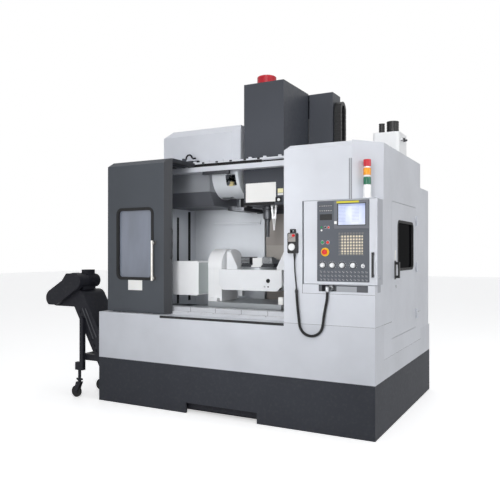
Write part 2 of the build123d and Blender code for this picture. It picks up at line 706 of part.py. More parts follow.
def front_crossbeam():
    """The beam that carries the roofs of the doors, with its roller rail and clips."""
    beam = box(ENCLOSURE_X0, -25.0, BEAM_Y0, BEAM_Y1, BEAM_Z0, BEAM_Z1)
    beam -= box(ENCLOSURE_X0 - 1, CABINET_X0, BEAM_Y0 - 1, BEAM_Y0 + BEAM_SLOT_DEPTH,
                BEAM_SLOT_Z0, BEAM_SLOT_Z1)
    for step in range(CLIP_COUNT):
        x = ENCLOSURE_X0 + 100.0 + step * CLIP_PITCH
        if x < CABINET_X0 - 40.0:
            beam += box(x, x + CLIP_SIZE, BEAM_Y0, BEAM_Y0 + 20.0, BEAM_Z1, BEAM_Z1 + 14.0)
    return beam


# Doors


def door_shell(x0, x1, y, thick, bottom, top, roof, bevel):
    """A door skin with its roof part, run back to the cross beam."""
    profile = [
        (y, bottom), (y + thick, bottom), (y + thick, top - roof), (BEAM_Y0 - RUN_GAP - 2.0, top - roof),
        (BEAM_Y0 - RUN_GAP - 2.0, top), (y + DOOR_CHAMFER, top), (y, top - DOOR_CHAMFER)]
    shell = prism_x(profile, x0, x1)
    if bevel > 0:
        shell -= prism_z([(x1 - bevel, y - 1), (x1 + 1, y - 1), (x1 + 1, y + thick)],
                         bottom - 1, top + 1)
    rib_step = (x1 - x0) / (ROOF_RIB_COUNT + 1)
    for index in range(ROOF_RIB_COUNT):
        x = x0 + rib_step * (index + 1)
        shell += box(x - 8.0, x + 8.0, y + thick, BEAM_Y0 - 30.0, top - roof - ROOF_RIB_HEIGHT, top - roof)
    return shell


def left_door():
    """The left sliding door, with its window opening and roof hook."""
    door = door_shell(LEFT_DOOR_X0, LEFT_DOOR_X1, LEFT_DOOR_Y, DOOR_THICK, LEFT_DOOR_BOTTOM,
                      LEFT_DOOR_TOP, LEFT_ROOF_THICK, DOOR_BEVEL)
    corner = prism_y(
        [(LEFT_DOOR_X0 - 1, LEFT_DOOR_TOP - DOOR_CHAMFER), (LEFT_DOOR_X0 + DOOR_CHAMFER, LEFT_DOOR_TOP + 1),
         (LEFT_DOOR_X0 - 1, LEFT_DOOR_TOP + 1)], LEFT_DOOR_Y - 1, BEAM_Y0)
    door -= corner
    door -= rounded_y(WINDOW_X0, WINDOW_X1, LEFT_DOOR_Y - 1, LEFT_DOOR_Y + DOOR_THICK + 1,
                      WINDOW_Z0, WINDOW_Z1, WINDOW_CORNER)
    hook = prism_y(
        [(0, 0), (58, 0), (58, 18), (38, 18), (38, 46), (20, 46), (20, 14), (0, 14)], 0, 40)
    door += Pos(LEFT_DOOR_X1 - 130, BEAM_Y0 - 60, LEFT_DOOR_TOP) * hook
    return door + door_shoes(LEFT_DOOR_X0, LEFT_DOOR_X1 - DOOR_BEVEL, LEFT_DOOR_Y, APRON_TOP,
                             LEFT_DOOR_BOTTOM)


def door_shoes(x0, x1, y, track, bottom):
    """Two runner shoes under a door, just clear of its track."""
    shoes = [box(x, x + 70, y + 8, y + 32, track + SEAT_GAP, bottom) for x in (x0 + 60, x1 - 130)]
    return shoes[0] + shoes[1]


def right_door():
    """The right sliding door, pushed into the cabinet, with its closing lip."""
    door = door_shell(RIGHT_DOOR_X0, RIGHT_DOOR_X1, RIGHT_DOOR_Y, RIGHT_DOOR_THICK, RIGHT_DOOR_BOTTOM,
                      RIGHT_DOOR_TOP, RIGHT_ROOF_THICK, 0)
    door -= prism_z([(RIGHT_DOOR_X1 - 178, RIGHT_DOOR_Y - 1), (RIGHT_DOOR_X1 + 1, RIGHT_DOOR_Y - 1),
                     (RIGHT_DOOR_X1 + 1, RIGHT_DOOR_Y + 90)], RIGHT_DOOR_BOTTOM - 1, RIGHT_DOOR_TOP + 1)
    x0 = RIGHT_DOOR_X0 + WINDOW_SIDE
    door -= rounded_y(x0, x0 + WINDOW_WIDTH, RIGHT_DOOR_Y - 1, RIGHT_DOOR_Y + RIGHT_DOOR_THICK + 1,
                      WINDOW_Z0, WINDOW_Z1, WINDOW_CORNER)
    lip = box(RIGHT_DOOR_X0 - RIGHT_LIP, RIGHT_DOOR_X0, LEFT_DOOR_Y + DOOR_THICK + RUN_GAP,
              RIGHT_DOOR_Y + RIGHT_DOOR_THICK, RIGHT_DOOR_BOTTOM, RIGHT_DOOR_TOP - DOOR_CHAMFER)
    return door + lip + door_shoes(RIGHT_DOOR_X0, RIGHT_DOOR_X1 - 180, RIGHT_DOOR_Y, SILL_TOP,
                                   RIGHT_DOOR_BOTTOM)


def window_pane(x0, x1, y, thick):
    """A pane in its gasket, set in the middle of a door."""
    return rounded_y(x0, x1, y + (thick - PANE_THICK) / 2, y + (thick + PANE_THICK) / 2,
                     WINDOW_Z0, WINDOW_Z1, WINDOW_CORNER)


def left_door_window():
    return window_pane(WINDOW_X0, WINDOW_X1, LEFT_DOOR_Y, DOOR_THICK)


def right_door_window():
    x0 = RIGHT_DOOR_X0 + WINDOW_SIDE
    return window_pane(x0, x0 + WINDOW_WIDTH, RIGHT_DOOR_Y, RIGHT_DOOR_THICK)


def left_door_handle():
    """A bright bar on two stand-offs."""
    y = LEFT_DOOR_Y - HANDLE_STANDOFF
    bar = rod_z(HANDLE_X, y, HANDLE_RADIUS, HANDLE_Z0, HANDLE_Z1)
    for z in (HANDLE_Z0 + 22.0, HANDLE_Z1 - 22.0):
        bar += rod_y(HANDLE_X, z, HANDLE_RADIUS + 3.0, y, LEFT_DOOR_Y - 6.0)
        bar += box(HANDLE_X - 20, HANDLE_X + 20, LEFT_DOOR_Y - 6.0, LEFT_DOOR_Y, z - 22, z + 22)
    return bar


def side_hinge_parts(on_door):
    """The knuckles of the side door, the upper half on the door and the lower on the frame."""
    axis_y = SIDE_DOOR_Y1 + HINGE_SETBACK
    pieces = []
    for z in SIDE_HINGE_HEIGHTS:
        if on_door:
            low = z + 0.4
            barrel = rod_z(HINGE_OUT, axis_y, HINGE_RADIUS, low, z + HINGE_LENGTH / 2)
            barrel -= rod_z(HINGE_OUT, axis_y, 3.0 + FIT_GAP, low - 1, z + HINGE_LENGTH / 2 - 8)
            leaf = box(0, 3.0, axis_y - 40, axis_y - 5, low, z + HINGE_LENGTH / 2)
            strap = box(0, HINGE_OUT - 4, axis_y - 10, axis_y - 4.5, low, z + HINGE_LENGTH / 2)
        else:
            barrel = rod_z(HINGE_OUT, axis_y, HINGE_RADIUS, z - HINGE_LENGTH / 2, z)
            barrel += rod_z(HINGE_OUT, axis_y, 3.0, z, z + HINGE_LENGTH / 2 - 9)
            leaf = box(0, 3.0, axis_y + 4.5, axis_y + 40, z - HINGE_LENGTH / 2, z)
            strap = box(0, HINGE_OUT - 4, axis_y + 4.5, axis_y + 10, z - HINGE_LENGTH / 2, z)
        pieces += [barrel + leaf + strap]
    return joined(pieces)


def side_door():
    """The service door in the right wall, with its handle and lock."""
    slab = box(-SIDE_DOOR_THICK, 0, SIDE_DOOR_Y0 + RUN_GAP, SIDE_DOOR_Y1 - RUN_GAP,
               SIDE_DOOR_Z0 + RUN_GAP, SIDE_DOOR_Z1 - RUN_GAP)
    slab -= rounded_x(-SIDE_DOOR_THICK - 1, 1, SIDE_WINDOW_Y0, SIDE_WINDOW_Y1,
                      SIDE_WINDOW_Z0, SIDE_WINDOW_Z1, WINDOW_CORNER)
    slab += box(0, 8.0, SIDE_HANDLE_Y - 14, SIDE_HANDLE_Y + 14, SIDE_HANDLE_Z0, SIDE_HANDLE_Z1)
    slab += box(8.0, 40.0, SIDE_HANDLE_Y - 9, SIDE_HANDLE_Y + 9, SIDE_HANDLE_Z0 + 8, SIDE_HANDLE_Z1 - 8)
    slab -= box(8.0, 26.0, SIDE_HANDLE_Y - 10, SIDE_HANDLE_Y + 10, SIDE_HANDLE_Z0 + 30, SIDE_HANDLE_Z1 - 30)
    slab += rod_x(SIDE_HANDLE_Y + 29, SIDE_HANDLE_Z0 - 60, 12.0, 0, 6.0)
    return slab + side_hinge_parts(True)


def side_door_window():
    middle = -SIDE_DOOR_THICK / 2
    return rounded_x(middle - PANE_THICK / 2, middle + PANE_THICK / 2, SIDE_WINDOW_Y0,
                     SIDE_WINDOW_Y1, SIDE_WINDOW_Z0, SIDE_WINDOW_Z1, WINDOW_CORNER)


# Operator panel and hand pendant


def face_y():
    """The front of the dark panel face, let into the box."""
    return PANEL_Y0 + FACE_RECESS


def operator_panel():
    """The swinging box with its panel face, screen frame, keys, rings and hinge."""
    case = rounded_z(PANEL_X0, PANEL_X1, PANEL_Y0, PANEL_Y1, PANEL_Z0, PANEL_Z1, PANEL_EDGE)
    case -= rounded_y(FACE_X0, FACE_X1, PANEL_Y0 - 1, face_y(), FACE_Z0, PANEL_Z1 - 4.0, 6.0)
    frame = rounded_y(SCREEN_FRAME_X0, SCREEN_FRAME_X1, PANEL_Y0 - 4.0, face_y(), SCREEN_FRAME_Z0,
                      SCREEN_FRAME_Z1, 8.0)
    case += frame
    case -= box(SCREEN_X0, SCREEN_X1, PANEL_Y0 - 5.0, PANEL_Y0 + 2.0, SCREEN_Z0, SCREEN_Z1)
    case += rod_y(ESTOP_X, ESTOP_Z, ESTOP_RING_RADIUS, PANEL_Y0 - 1.0, face_y())
    for x in KNOB_X:
        case += rod_y(x, KNOB_Z, KNOB_RADIUS + 6.0, face_y() - 2.0, face_y())
    case += key_field()
    case += membrane_keys()
    for x, z, radius in bore_list():
        case -= rod_y(x, z, radius, PANEL_Y0 - 5.0, PANEL_Y0 + STEM_LENGTH + 8.0)
    pull = box(PULL_X - 7, PULL_X + 7, PANEL_Y0 - 24.0, PANEL_Y0, PULL_Z0, PULL_Z1)
    pull -= box(PULL_X - 8, PULL_X + 8, PANEL_Y0 - 14.0, PANEL_Y0, PULL_Z0 + 22, PULL_Z1 - 22)
    case += pull
    case += rod_x(60.0, PULL_Z0 - 1, 13.0, PANEL_X1, PANEL_X1 + 6.0)
    for z0, z1 in ((PANEL_Z0 - 1, PANEL_Z0 + PANEL_PIN_LENGTH), (PANEL_Z1 - PANEL_PIN_LENGTH, PANEL_Z1 + 1)):
        case -= rod_z(PANEL_PIN_X, PANEL_PIN_Y, PANEL_PIN_RADIUS + FIT_GAP, z0, z1)
    return case


def key_field():
    """The raised keys beside the screen, in rows."""
    keys = []
    columns = int((KEYPAD_X1 - KEYPAD_X0) / KEY_PITCH)
    rows = int((KEYPAD_Z1 - KEYPAD_Z0) / KEY_PITCH)
    for row in range(rows):
        for column in range(columns):
            x = KEYPAD_X0 + KEY_PITCH * (column + 0.5)
            z = KEYPAD_Z0 + KEY_PITCH * (row + 0.5)
            keys.append(box(x - KEY_SIZE / 2, x + KEY_SIZE / 2, face_y() - KEY_HEIGHT, face_y(),
                            z - KEY_SIZE / 2, z + KEY_SIZE / 2))
    return keys


def membrane_keys():
    """Three rows of flat keys under the knobs."""
    keys = []
    for z in MEMBRANE_Z:
        for column in range(MEMBRANE_COUNT):
            x = MEMBRANE_X0 + MEMBRANE_PITCH * column
            keys.append(box(x - 9, x + 9, face_y() - 1.5, face_y(), z - 8, z + 8))
    return keys


def bore_list():
    """Where stems pass into the box: x, z and bore radius."""
    bores = [(ESTOP_X, ESTOP_Z, STEM_RADIUS + FIT_GAP), (KEY_SWITCH_X, KEY_SWITCH_Z, STEM_RADIUS + FIT_GAP)]
    bores += [(x, KNOB_Z, STEM_RADIUS + FIT_GAP) for x in KNOB_X]
    bores += [(x, BUTTON_Z, STEM_RADIUS + FIT_GAP) for x in (CYCLE_X, HOLD_X)]
    return bores


def display_screen():
    """The screen glass, seated in its frame."""
    return box(SCREEN_X0, SCREEN_X1, PANEL_Y0 + 2.0 - SCREEN_THICK, PANEL_Y0 + 2.0, SCREEN_Z0, SCREEN_Z1)


def emergency_stop():
    """The mushroom button on its stem."""
    y = PANEL_Y0 - 1.0 - ESTOP_TRAVEL - SEAT_GAP
    profile = [(0, y - 16), (10, y - 16), (ESTOP_RADIUS, y - 9), (ESTOP_RADIUS, y - 3),
               (STEM_RADIUS + 6, y), (0, y)]
    cap = turned_y(profile, ESTOP_X, ESTOP_Z)
    return cap + rod_y(ESTOP_X, ESTOP_Z, STEM_RADIUS, y, PANEL_Y0 + STEM_LENGTH)


def override_knob(x):
    """A knurled rotary switch with a pointer rib."""
    back = face_y() - 2.0 - SEAT_GAP
    front = back - KNOB_LENGTH
    knob = turned_y([(0, front), (KNOB_RADIUS - 5, front), (KNOB_RADIUS - 3, front + 2),
                     (KNOB_RADIUS - 1, back - 4), (KNOB_RADIUS, back - 4), (KNOB_RADIUS, back),
                     (0, back)], x, KNOB_Z)
    for index in range(12):
        turn = radians(30.0 * index + 15.0)
        knob -= rod_y(x + KNOB_RADIUS * cos(turn), KNOB_Z + KNOB_RADIUS * sin(turn), 2.2,
                      front - 1, back - 5)
    knob += box(x - 2.0, x + 2.0, front - 3.0, front, KNOB_Z - 13, KNOB_Z + 13)
    return knob + rod_y(x, KNOB_Z, STEM_RADIUS, back, PANEL_Y0 + STEM_LENGTH)


def push_button(x):
    """A round push button on its stem."""
    back = face_y() - BUTTON_TRAVEL - SEAT_GAP
    cap = turned_y([(0, back - 7), (BUTTON_RADIUS - 2, back - 7), (BUTTON_RADIUS, back - 5),
                    (BUTTON_RADIUS, back), (0, back)], x, BUTTON_Z)
    return cap + rod_y(x, BUTTON_Z, STEM_RADIUS, back, PANEL_Y0 + STEM_LENGTH)


def key_switch():
    """The turning key of the panel lock."""
    back = face_y() - SEAT_GAP
    barrel = rod_y(KEY_SWITCH_X, KEY_SWITCH_Z, 10.0, back - 8, back)
    barrel += box(KEY_SWITCH_X - 1.5, KEY_SWITCH_X + 1.5, back - 34, back - 8,
                  KEY_SWITCH_Z - 9, KEY_SWITCH_Z + 9)
    return barrel + rod_y(KEY_SWITCH_X, KEY_SWITCH_Z, STEM_RADIUS, back, PANEL_Y0 + STEM_LENGTH)


def pendant_body():
    """The hand pendant, hung flat on the cabinet front, with its stop button and switches."""
    middle = (PENDANT_X0 + PENDANT_X1) / 2
    body = rounded_y(PENDANT_X0, PENDANT_X1, -PENDANT_DEPTH, 0, PENDANT_Z0, PENDANT_Z1, 12.0)
    body += rounded_y(middle - 20, middle + 20, -PENDANT_DEPTH + 8, -8, PENDANT_Z1 - 2, PENDANT_Z1 + 30, 8.0)
    body -= rounded_y(middle - 12, middle + 12, -PENDANT_DEPTH, 0, PENDANT_Z1 + 4, PENDANT_Z1 + 22, 6.0)
    body += rod_y(middle + 16, PENDANT_Z1 - 22, 11.0, -PENDANT_DEPTH - 12, -PENDANT_DEPTH)
    for x in (middle - 24, middle - 4):
        body += rod_y(x, PENDANT_Z1 - 40, 7.0, -PENDANT_DEPTH - 9, -PENDANT_DEPTH)
    body += rod_z(CABLE_X, CORD_Y, CABLE_RADIUS + 4, PENDANT_Z0 - 14, PENDANT_Z0)
    body -= rod_y(middle, PENDANT_WHEEL_Z, STEM_RADIUS + FIT_GAP, -PENDANT_DEPTH - 1, -PENDANT_DEPTH + 16)
    return body


def pendant_wheel():
    """The pulse wheel with its finger dimple."""
    middle = (PENDANT_X0 + PENDANT_X1) / 2
    back = -PENDANT_DEPTH - SEAT_GAP
    wheel = turned_y([(0, back - 9), (PENDANT_WHEEL_RADIUS - 2, back - 9),
                      (PENDANT_WHEEL_RADIUS, back - 7), (PENDANT_WHEEL_RADIUS, back), (0, back)],
                     middle, PENDANT_WHEEL_Z)
    wheel -= rod_y(middle + 16, PENDANT_WHEEL_Z, 6.0, back - 10, back - 6)
    return wheel + rod_y(middle, PENDANT_WHEEL_Z, STEM_RADIUS, back, -PENDANT_DEPTH + 14)


def tube(points, radius):
    """A round tube along straight runs with arcs as large as the runs allow."""
    route = [Vector(*point) for point in points]
    radii = []
    for before, here, after in zip(route, route[1:], route[2:]):
        turn = radians((here - before).get_angle(after - here))
        shorter = min((here - before).length, (after - here).length)
        radii.append(0.45 * shorter / (sin(turn / 2) / cos(turn / 2)))
    path = FilletPolyline(*route, radius=radii) if radii else Line(route[0], route[1])
    print("length", round(path.length), "radii", [round(value) for value in radii])
    start = Plane(origin=route[0], z_dir=(route[1] - route[0]).normalized())
    return sweep(start * Circle(radius), path=path)


def cable_route():
    return [(CABLE_X, CORD_Y, PENDANT_Z0 - 14), (CABLE_X, CORD_Y, 1300), (CABLE_X + 4, CORD_Y, 1230),
            (CABLE_X + 12, CORD_Y, 1165), (CABLE_X + 16, CORD_Y, SLEEVE_TOP)]


def pendant_cable():
    """The thin cable between the pendant and its sleeve."""
    return tube(cable_route(), CABLE_RADIUS)


def sleeve_route():
    """Down from the cable, round the hanging loop in even steps, and up to the elbow."""
    down = [(CABLE_X + 16, CORD_Y, SLEEVE_TOP), (CABLE_X + 22, CORD_Y, SLEEVE_TOP - 96),
            (CABLE_X + 34, CORD_Y, 905)]
    turns = [radians(-160.0 + 28.0 * step) for step in range(6)]
    loop = [(LOOP_X + LOOP_RADIUS * cos(turn), CORD_Y, LOOP_Z + LOOP_RADIUS * sin(turn)) for turn in turns]
    up = [(ELBOW_X - 30, CORD_Y, 897), (ELBOW_X - 14, CORD_Y, 985), (ELBOW_X, CORD_Y, 1048),
          (ELBOW_X, CORD_Y, ELBOW_Z - 26)]
    return down + loop + up


def cable_sleeve():
    """The ribbed sleeve that hangs in a loop under the pendant."""
    return tube(sleeve_route(), SLEEVE_RADIUS)


def cable_connector():
    """The elbow connector in the pocket under the panel box."""
    top = ELBOW_Z + ELBOW_RADIUS
    down = turned_z([(0, ELBOW_Z - 26), (SLEEVE_RADIUS + 2, ELBOW_Z - 26), (ELBOW_RADIUS, ELBOW_Z - 18),
                     (ELBOW_RADIUS, top - 6), (ELBOW_RADIUS - 6, top), (0, top)], ELBOW_X, CORD_Y)
    back = rod_y(ELBOW_X, ELBOW_Z, ELBOW_RADIUS - 2, CORD_Y, POCKET_DEPTH)
    ring = rod_y(ELBOW_X, ELBOW_Z, ELBOW_RADIUS + 4, POCKET_DEPTH - 26, POCKET_DEPTH - 6)
    return down + back + ring


def signal_tower():
    """The lamp stack on the ledge of the cabinet corner."""
    first = TOWER_BANDS[0][0]
    foot = LEDGE_Z + LEDGE_THICK
    profile = [(0, foot), (TOWER_RADIUS + 3, foot), (TOWER_RADIUS + 3, foot + 12),
               (TOWER_RADIUS, foot + 16), (TOWER_RADIUS, first - 8), (TOWER_NECK, first - 6),
               (TOWER_NECK, first)]
    for low, high in TOWER_BANDS:
        profile += [(TOWER_NECK, low), (TOWER_RADIUS, low + 2), (TOWER_RADIUS, high - 2), (TOWER_NECK, high)]
    profile += [(0, TOWER_BANDS[-1][1] + 6)]
    clean = [point for index, point in enumerate(profile) if index == 0 or point != profile[index - 1]]
    return turned_z(clean, TOWER_X, TOWER_Y)


# Saddle, table and their covers


def cover_segment(x0, x1, level):
    """One channel of the telescopic cover along x; each level lies outside the last."""
    grow = COVER_STEP * level
    y0 = SADDLE_Y0 - grow
    y1 = SADDLE_Y1 + grow
    top = COVER_TOP + grow
    outer = box(x0, x1, y0, y1, CARRIER_TOP + SEAT_GAP, top)
    inner = box(x0 - 1, x1 + 1, y0 + COVER_SHEET, y1 - COVER_SHEET, CARRIER_TOP - 1, top - COVER_SHEET)
    return outer - inner


def saddle():
    """The cross slide with the rails of the table and the outer covers."""
    body = box(BED_X0, BED_X1, SADDLE_Y0, SADDLE_Y1, SADDLE_Z0, SADDLE_TOP)
    for x in Y_RAIL_X:
        for y in (SADDLE_Y0 + 70, SADDLE_Y1 - 70):
            body += runner_block_y(x, y)
    for y in X_RAIL_Y:
        body += box(BED_X0, BED_X1, y - RAIL_WIDTH / 2, y + RAIL_WIDTH / 2, SADDLE_TOP,
                    SADDLE_TOP + RAIL_HEIGHT)
    for y in (SADDLE_Y0, SADDLE_Y1 - CARRIER_WIDTH):
        body += box(CARRIER_X0, CARRIER_X1, y, y + CARRIER_WIDTH, SADDLE_TOP - 30, CARRIER_TOP)
    for x0 in (CARRIER_X0, CARRIER_X1 - COVER_LENGTH):
        segment = cover_segment(x0, x0 + COVER_LENGTH, 0)
        for y in (SADDLE_Y0, SADDLE_Y1 - COVER_SHEET):
            segment += box(x0, x0 + COVER_LENGTH, y, y + COVER_SHEET, CARRIER_TOP, CARRIER_TOP + 1)
        body += segment
    body += box(BED_X0 + 10, BED_X1 - 10, SADDLE_Y0 - 212, SADDLE_Y0, SADDLE_Z0 + 4, SADDLE_Z0 + 7)
    return body


def runner_block_y(x, y):
    """A guide block that straddles a rail of the bed."""
    block = box(x - 50, x + 50, y - 60, y + 60, BED_TOP + 8, SADDLE_Z0)
    return block - box(x - RAIL_WIDTH / 2 - RUNNER_GAP, x + RAIL_WIDTH / 2 + RUNNER_GAP, y - 61, y + 61,
                       BED_TOP, BED_TOP + RAIL_HEIGHT + RUNNER_GAP)


def y_cover_front():
    """The sliding plate between the sill and the saddle."""
    y0 = Y_COVER_FRONT
    plate = box(BED_X0 + 14, BED_X1 - 14, y0, y0 + Y_COVER_LENGTH, Y_COVER_TOP - 3, Y_COVER_TOP)
    plate += box(BED_X0 + 14, BED_X1 - 14, y0, y0 + 4, Y_COVER_TOP - 18, Y_COVER_TOP)
    for x in (BED_X0 + 40, BED_X1 - 60):
        plate += box(x, x + 20, y0, y0 + Y_COVER_LENGTH, BED_TOP + SEAT_GAP, Y_COVER_TOP - 3)
    return plate


def middle_position(fixed_x0, table_x0):
    """Where the middle channel lies between its two neighbours."""
    return (fixed_x0 + table_x0) / 2


def x_cover_left():
    """The middle channel of the left cover."""
    x0 = middle_position(CARRIER_X0, BLOCK_X0 - COVER_LENGTH)
    return cover_segment(x0, x0 + COVER_LENGTH, 1)


def x_cover_right():
    """The middle channel of the right cover."""
    x0 = middle_position(CARRIER_X1 - COVER_LENGTH, BLOCK_X1)
    return cover_segment(x0, x0 + COVER_LENGTH, 1)


def machine_table():
    """The slotted table with its guide blocks and the inner covers."""
    slab = box(TABLE_X0, TABLE_X1, TABLE_Y0, TABLE_Y1, TABLE_TOP - TABLE_SLAB, TABLE_TOP)
    middle = (TABLE_Y0 + TABLE_Y1) / 2
    for index in range(SLOT_COUNT):
        y = middle + (index - (SLOT_COUNT - 1) / 2) * SLOT_PITCH
        slab -= box(TABLE_X0 - 1, TABLE_X1 + 1, y - SLOT_WIDTH / 2, y + SLOT_WIDTH / 2,
                    TABLE_TOP - SLOT_DEPTH, TABLE_TOP + 1)
        slab -= box(TABLE_X0 - 1, TABLE_X1 + 1, y - SLOT_WIDTH, y + SLOT_WIDTH,
                    TABLE_TOP - SLOT_DEPTH, TABLE_TOP - SLOT_DEPTH / 2)
    block = box(BLOCK_X0, BLOCK_X1, X_RAIL_Y[0] - 70, X_RAIL_Y[1] + 50, SADDLE_TOP + RAIL_HEIGHT + 6,
                TABLE_TOP - TABLE_SLAB)
    for y in X_RAIL_Y:
        for x in (BLOCK_X0 + 70, BLOCK_X1 - 70):
            guide = box(x - 60, x + 60, y - 48, y + 48, SADDLE_TOP + 8, SADDLE_TOP + RAIL_HEIGHT + 6)
            guide -= box(x - 61, x + 61, y - RAIL_WIDTH / 2 - RUNNER_GAP, y + RAIL_WIDTH / 2 + RUNNER_GAP,
                         SADDLE_TOP, SADDLE_TOP + RAIL_HEIGHT + RUNNER_GAP)
            block += guide
    covers = []
    for x0 in (BLOCK_X0 - COVER_LENGTH, BLOCK_X1):
        covers.append(cover_segment(x0, x0 + COVER_LENGTH, 2))
    for x0, x1 in ((BLOCK_X0, BLOCK_X0 + 6), (BLOCK_X1 - 6, BLOCK_X1)):
        covers.append(box(x0, x1, SADDLE_Y0 - 12, SADDLE_Y1 + 12, SADDLE_TOP + RAIL_HEIGHT + 6,
                          COVER_TOP + COVER_STEP * 2))
    return joined([slab, block] + covers)


# Tilting rotary unit


def rotary_base():
    """The drive housing at the left and the tail support at the right end of the table."""
    motor = rounded_y(MOTOR_BOX_X0, HOUSING_X0, MOTOR_BOX_Y0, MOTOR_BOX_Y1, MOTOR_BOX_Z0,
                      MOTOR_BOX_Z1, MOTOR_BOX_EDGE)
    neck = box(MOTOR_BOX_X0 + 60, HOUSING_X0, MOTOR_BOX_Y1, FOOT_Y1, MOTOR_BOX_Z0 + 30, MOTOR_BOX_Z1 - 20)
    head = rod_x(TILT_Y, TILT_Z, HOUSING_RADIUS, HOUSING_X0, HOUSING_X1)
    foot = box(HOUSING_X0, HOUSING_X1, FOOT_Y0 - 20, FOOT_Y1, TABLE_TOP, TILT_Z)
    foot += box(HOUSING_X0 + 40, HOUSING_X1 - 20, FOOT_Y0 - 70, FOOT_Y1 + 30, TABLE_TOP, TABLE_TOP + 28)
    drive = joined([motor, neck, head, foot])
    drive -= rod_x(TILT_Y, TILT_Z, TRUNNION_RADIUS + FIT_GAP, HOUSING_X1 - TRUNNION_DEPTH, HOUSING_X1 + 1)
    for z in (MOTOR_BOX_Z0 + 70, MOTOR_BOX_Z0 + 150, MOTOR_BOX_Z0 + 230):
        drive += rod_x(MOTOR_BOX_Y0 + 90, z, 17.0, MOTOR_BOX_X0 - 22, MOTOR_BOX_X0)
    tail = box(TAIL_X0, TAIL_X1, FOOT_Y0, FOOT_Y1, TABLE_TOP - TABLE_SLAB, TILT_Z)
    tail += rod_x(TILT_Y, TILT_Z, TAIL_RADIUS, TAIL_X0, TAIL_X1)
    tail -= rod_x(TILT_Y, TILT_Z, TRUNNION_RADIUS + FIT_GAP, TAIL_X0 - 1, TAIL_X0 + TRUNNION_DEPTH)
    return drive + tail


def cradle():
    """The tilting bridge: trough body, two slanted arms, trunnions, plate bore and drain spout."""
    body = box(CRADLE_X0, CRADLE_X1, CRADLE_Y0, CRADLE_Y1, CRADLE_Z0, CRADLE_Z1)
    for x, side in ((CRADLE_X0, 1), (CRADLE_X1, -1)):
        body -= prism_y([(x - side, CRADLE_Z0 - 1), (x + side * CRADLE_BEVEL, CRADLE_Z0 - 1),
                         (x - side, CRADLE_Z0 + CRADLE_BEVEL)], CRADLE_Y0 - 1, CRADLE_Y1 + 1)
    round_top = rod_x(TILT_Y, TILT_Z, ARM_ROUND, CRADLE_X0, CRADLE_X1)
    round_top += box(CRADLE_X0, CRADLE_X1, ARM_Y0, ARM_Y1, CRADLE_Z1, TILT_Z)
    for x, side in ((CRADLE_X0, 1), (CRADLE_X1, -1)):
        peak = TILT_Z + ARM_ROUND + 1
        arm = prism_y([(x, CRADLE_Z1), (x, peak), (x + side * ARM_TOP_X, peak),
                       (x + side * ARM_FOOT_X, TILT_Z - 10), (x + side * ARM_FOOT_X, CRADLE_Z1)],
                      ARM_Y0, ARM_Y1)
        body += arm & round_top
    seat = TRUNNION_DEPTH - 6
    for x0, x1 in ((HOUSING_X1 - seat, CRADLE_X0), (CRADLE_X1, TAIL_X0 + seat)):
        body += rod_x(TILT_Y, TILT_Z, TRUNNION_RADIUS, x0, x1)
    body -= rod_z(PLATE_X, TILT_Y, PIVOT_RADIUS + FIT_GAP, CRADLE_Z1 - PIVOT_LENGTH - 2, CRADLE_Z1 + 1)
    body += box(SPOUT_X - SPOUT_WIDTH / 2, SPOUT_X + SPOUT_WIDTH / 2, TILT_Y - SPOUT_WIDTH,
                TILT_Y, CRADLE_Z0 - SPOUT_LENGTH, CRADLE_Z0)
    body -= rod_y(CRADLE_X1 - 130, 1150, 19.0, CRADLE_Y0 - 1, CRADLE_Y0 + 30)
    for x in (CRADLE_X1 - 165, CRADLE_X1 - 130):
        body -= rod_y(x, 1098, 7.0, CRADLE_Y0 - 1, CRADLE_Y0 + 20)
    return body


def faceplate():
    """The rotary plate with its radial slots and pivot."""
    low = CRADLE_Z1 + SEAT_GAP
    plate = turned_z([(0, low), (PLATE_RADIUS, low), (PLATE_RADIUS, PLATE_TOP - 3),
                      (PLATE_RADIUS - 3, PLATE_TOP), (0, PLATE_TOP)], PLATE_X, TILT_Y)
    for index in range(PLATE_SLOTS):
        slot = box(45, PLATE_RADIUS + 1, -6, 6, PLATE_TOP - 8, PLATE_TOP + 1)
        plate -= Pos(PLATE_X, TILT_Y, 0) * (Rot(0, 0, 360.0 / PLATE_SLOTS * index) * slot)
    return plate + rod_z(PLATE_X, TILT_Y, PIVOT_RADIUS, CRADLE_Z1 - PIVOT_LENGTH, low)


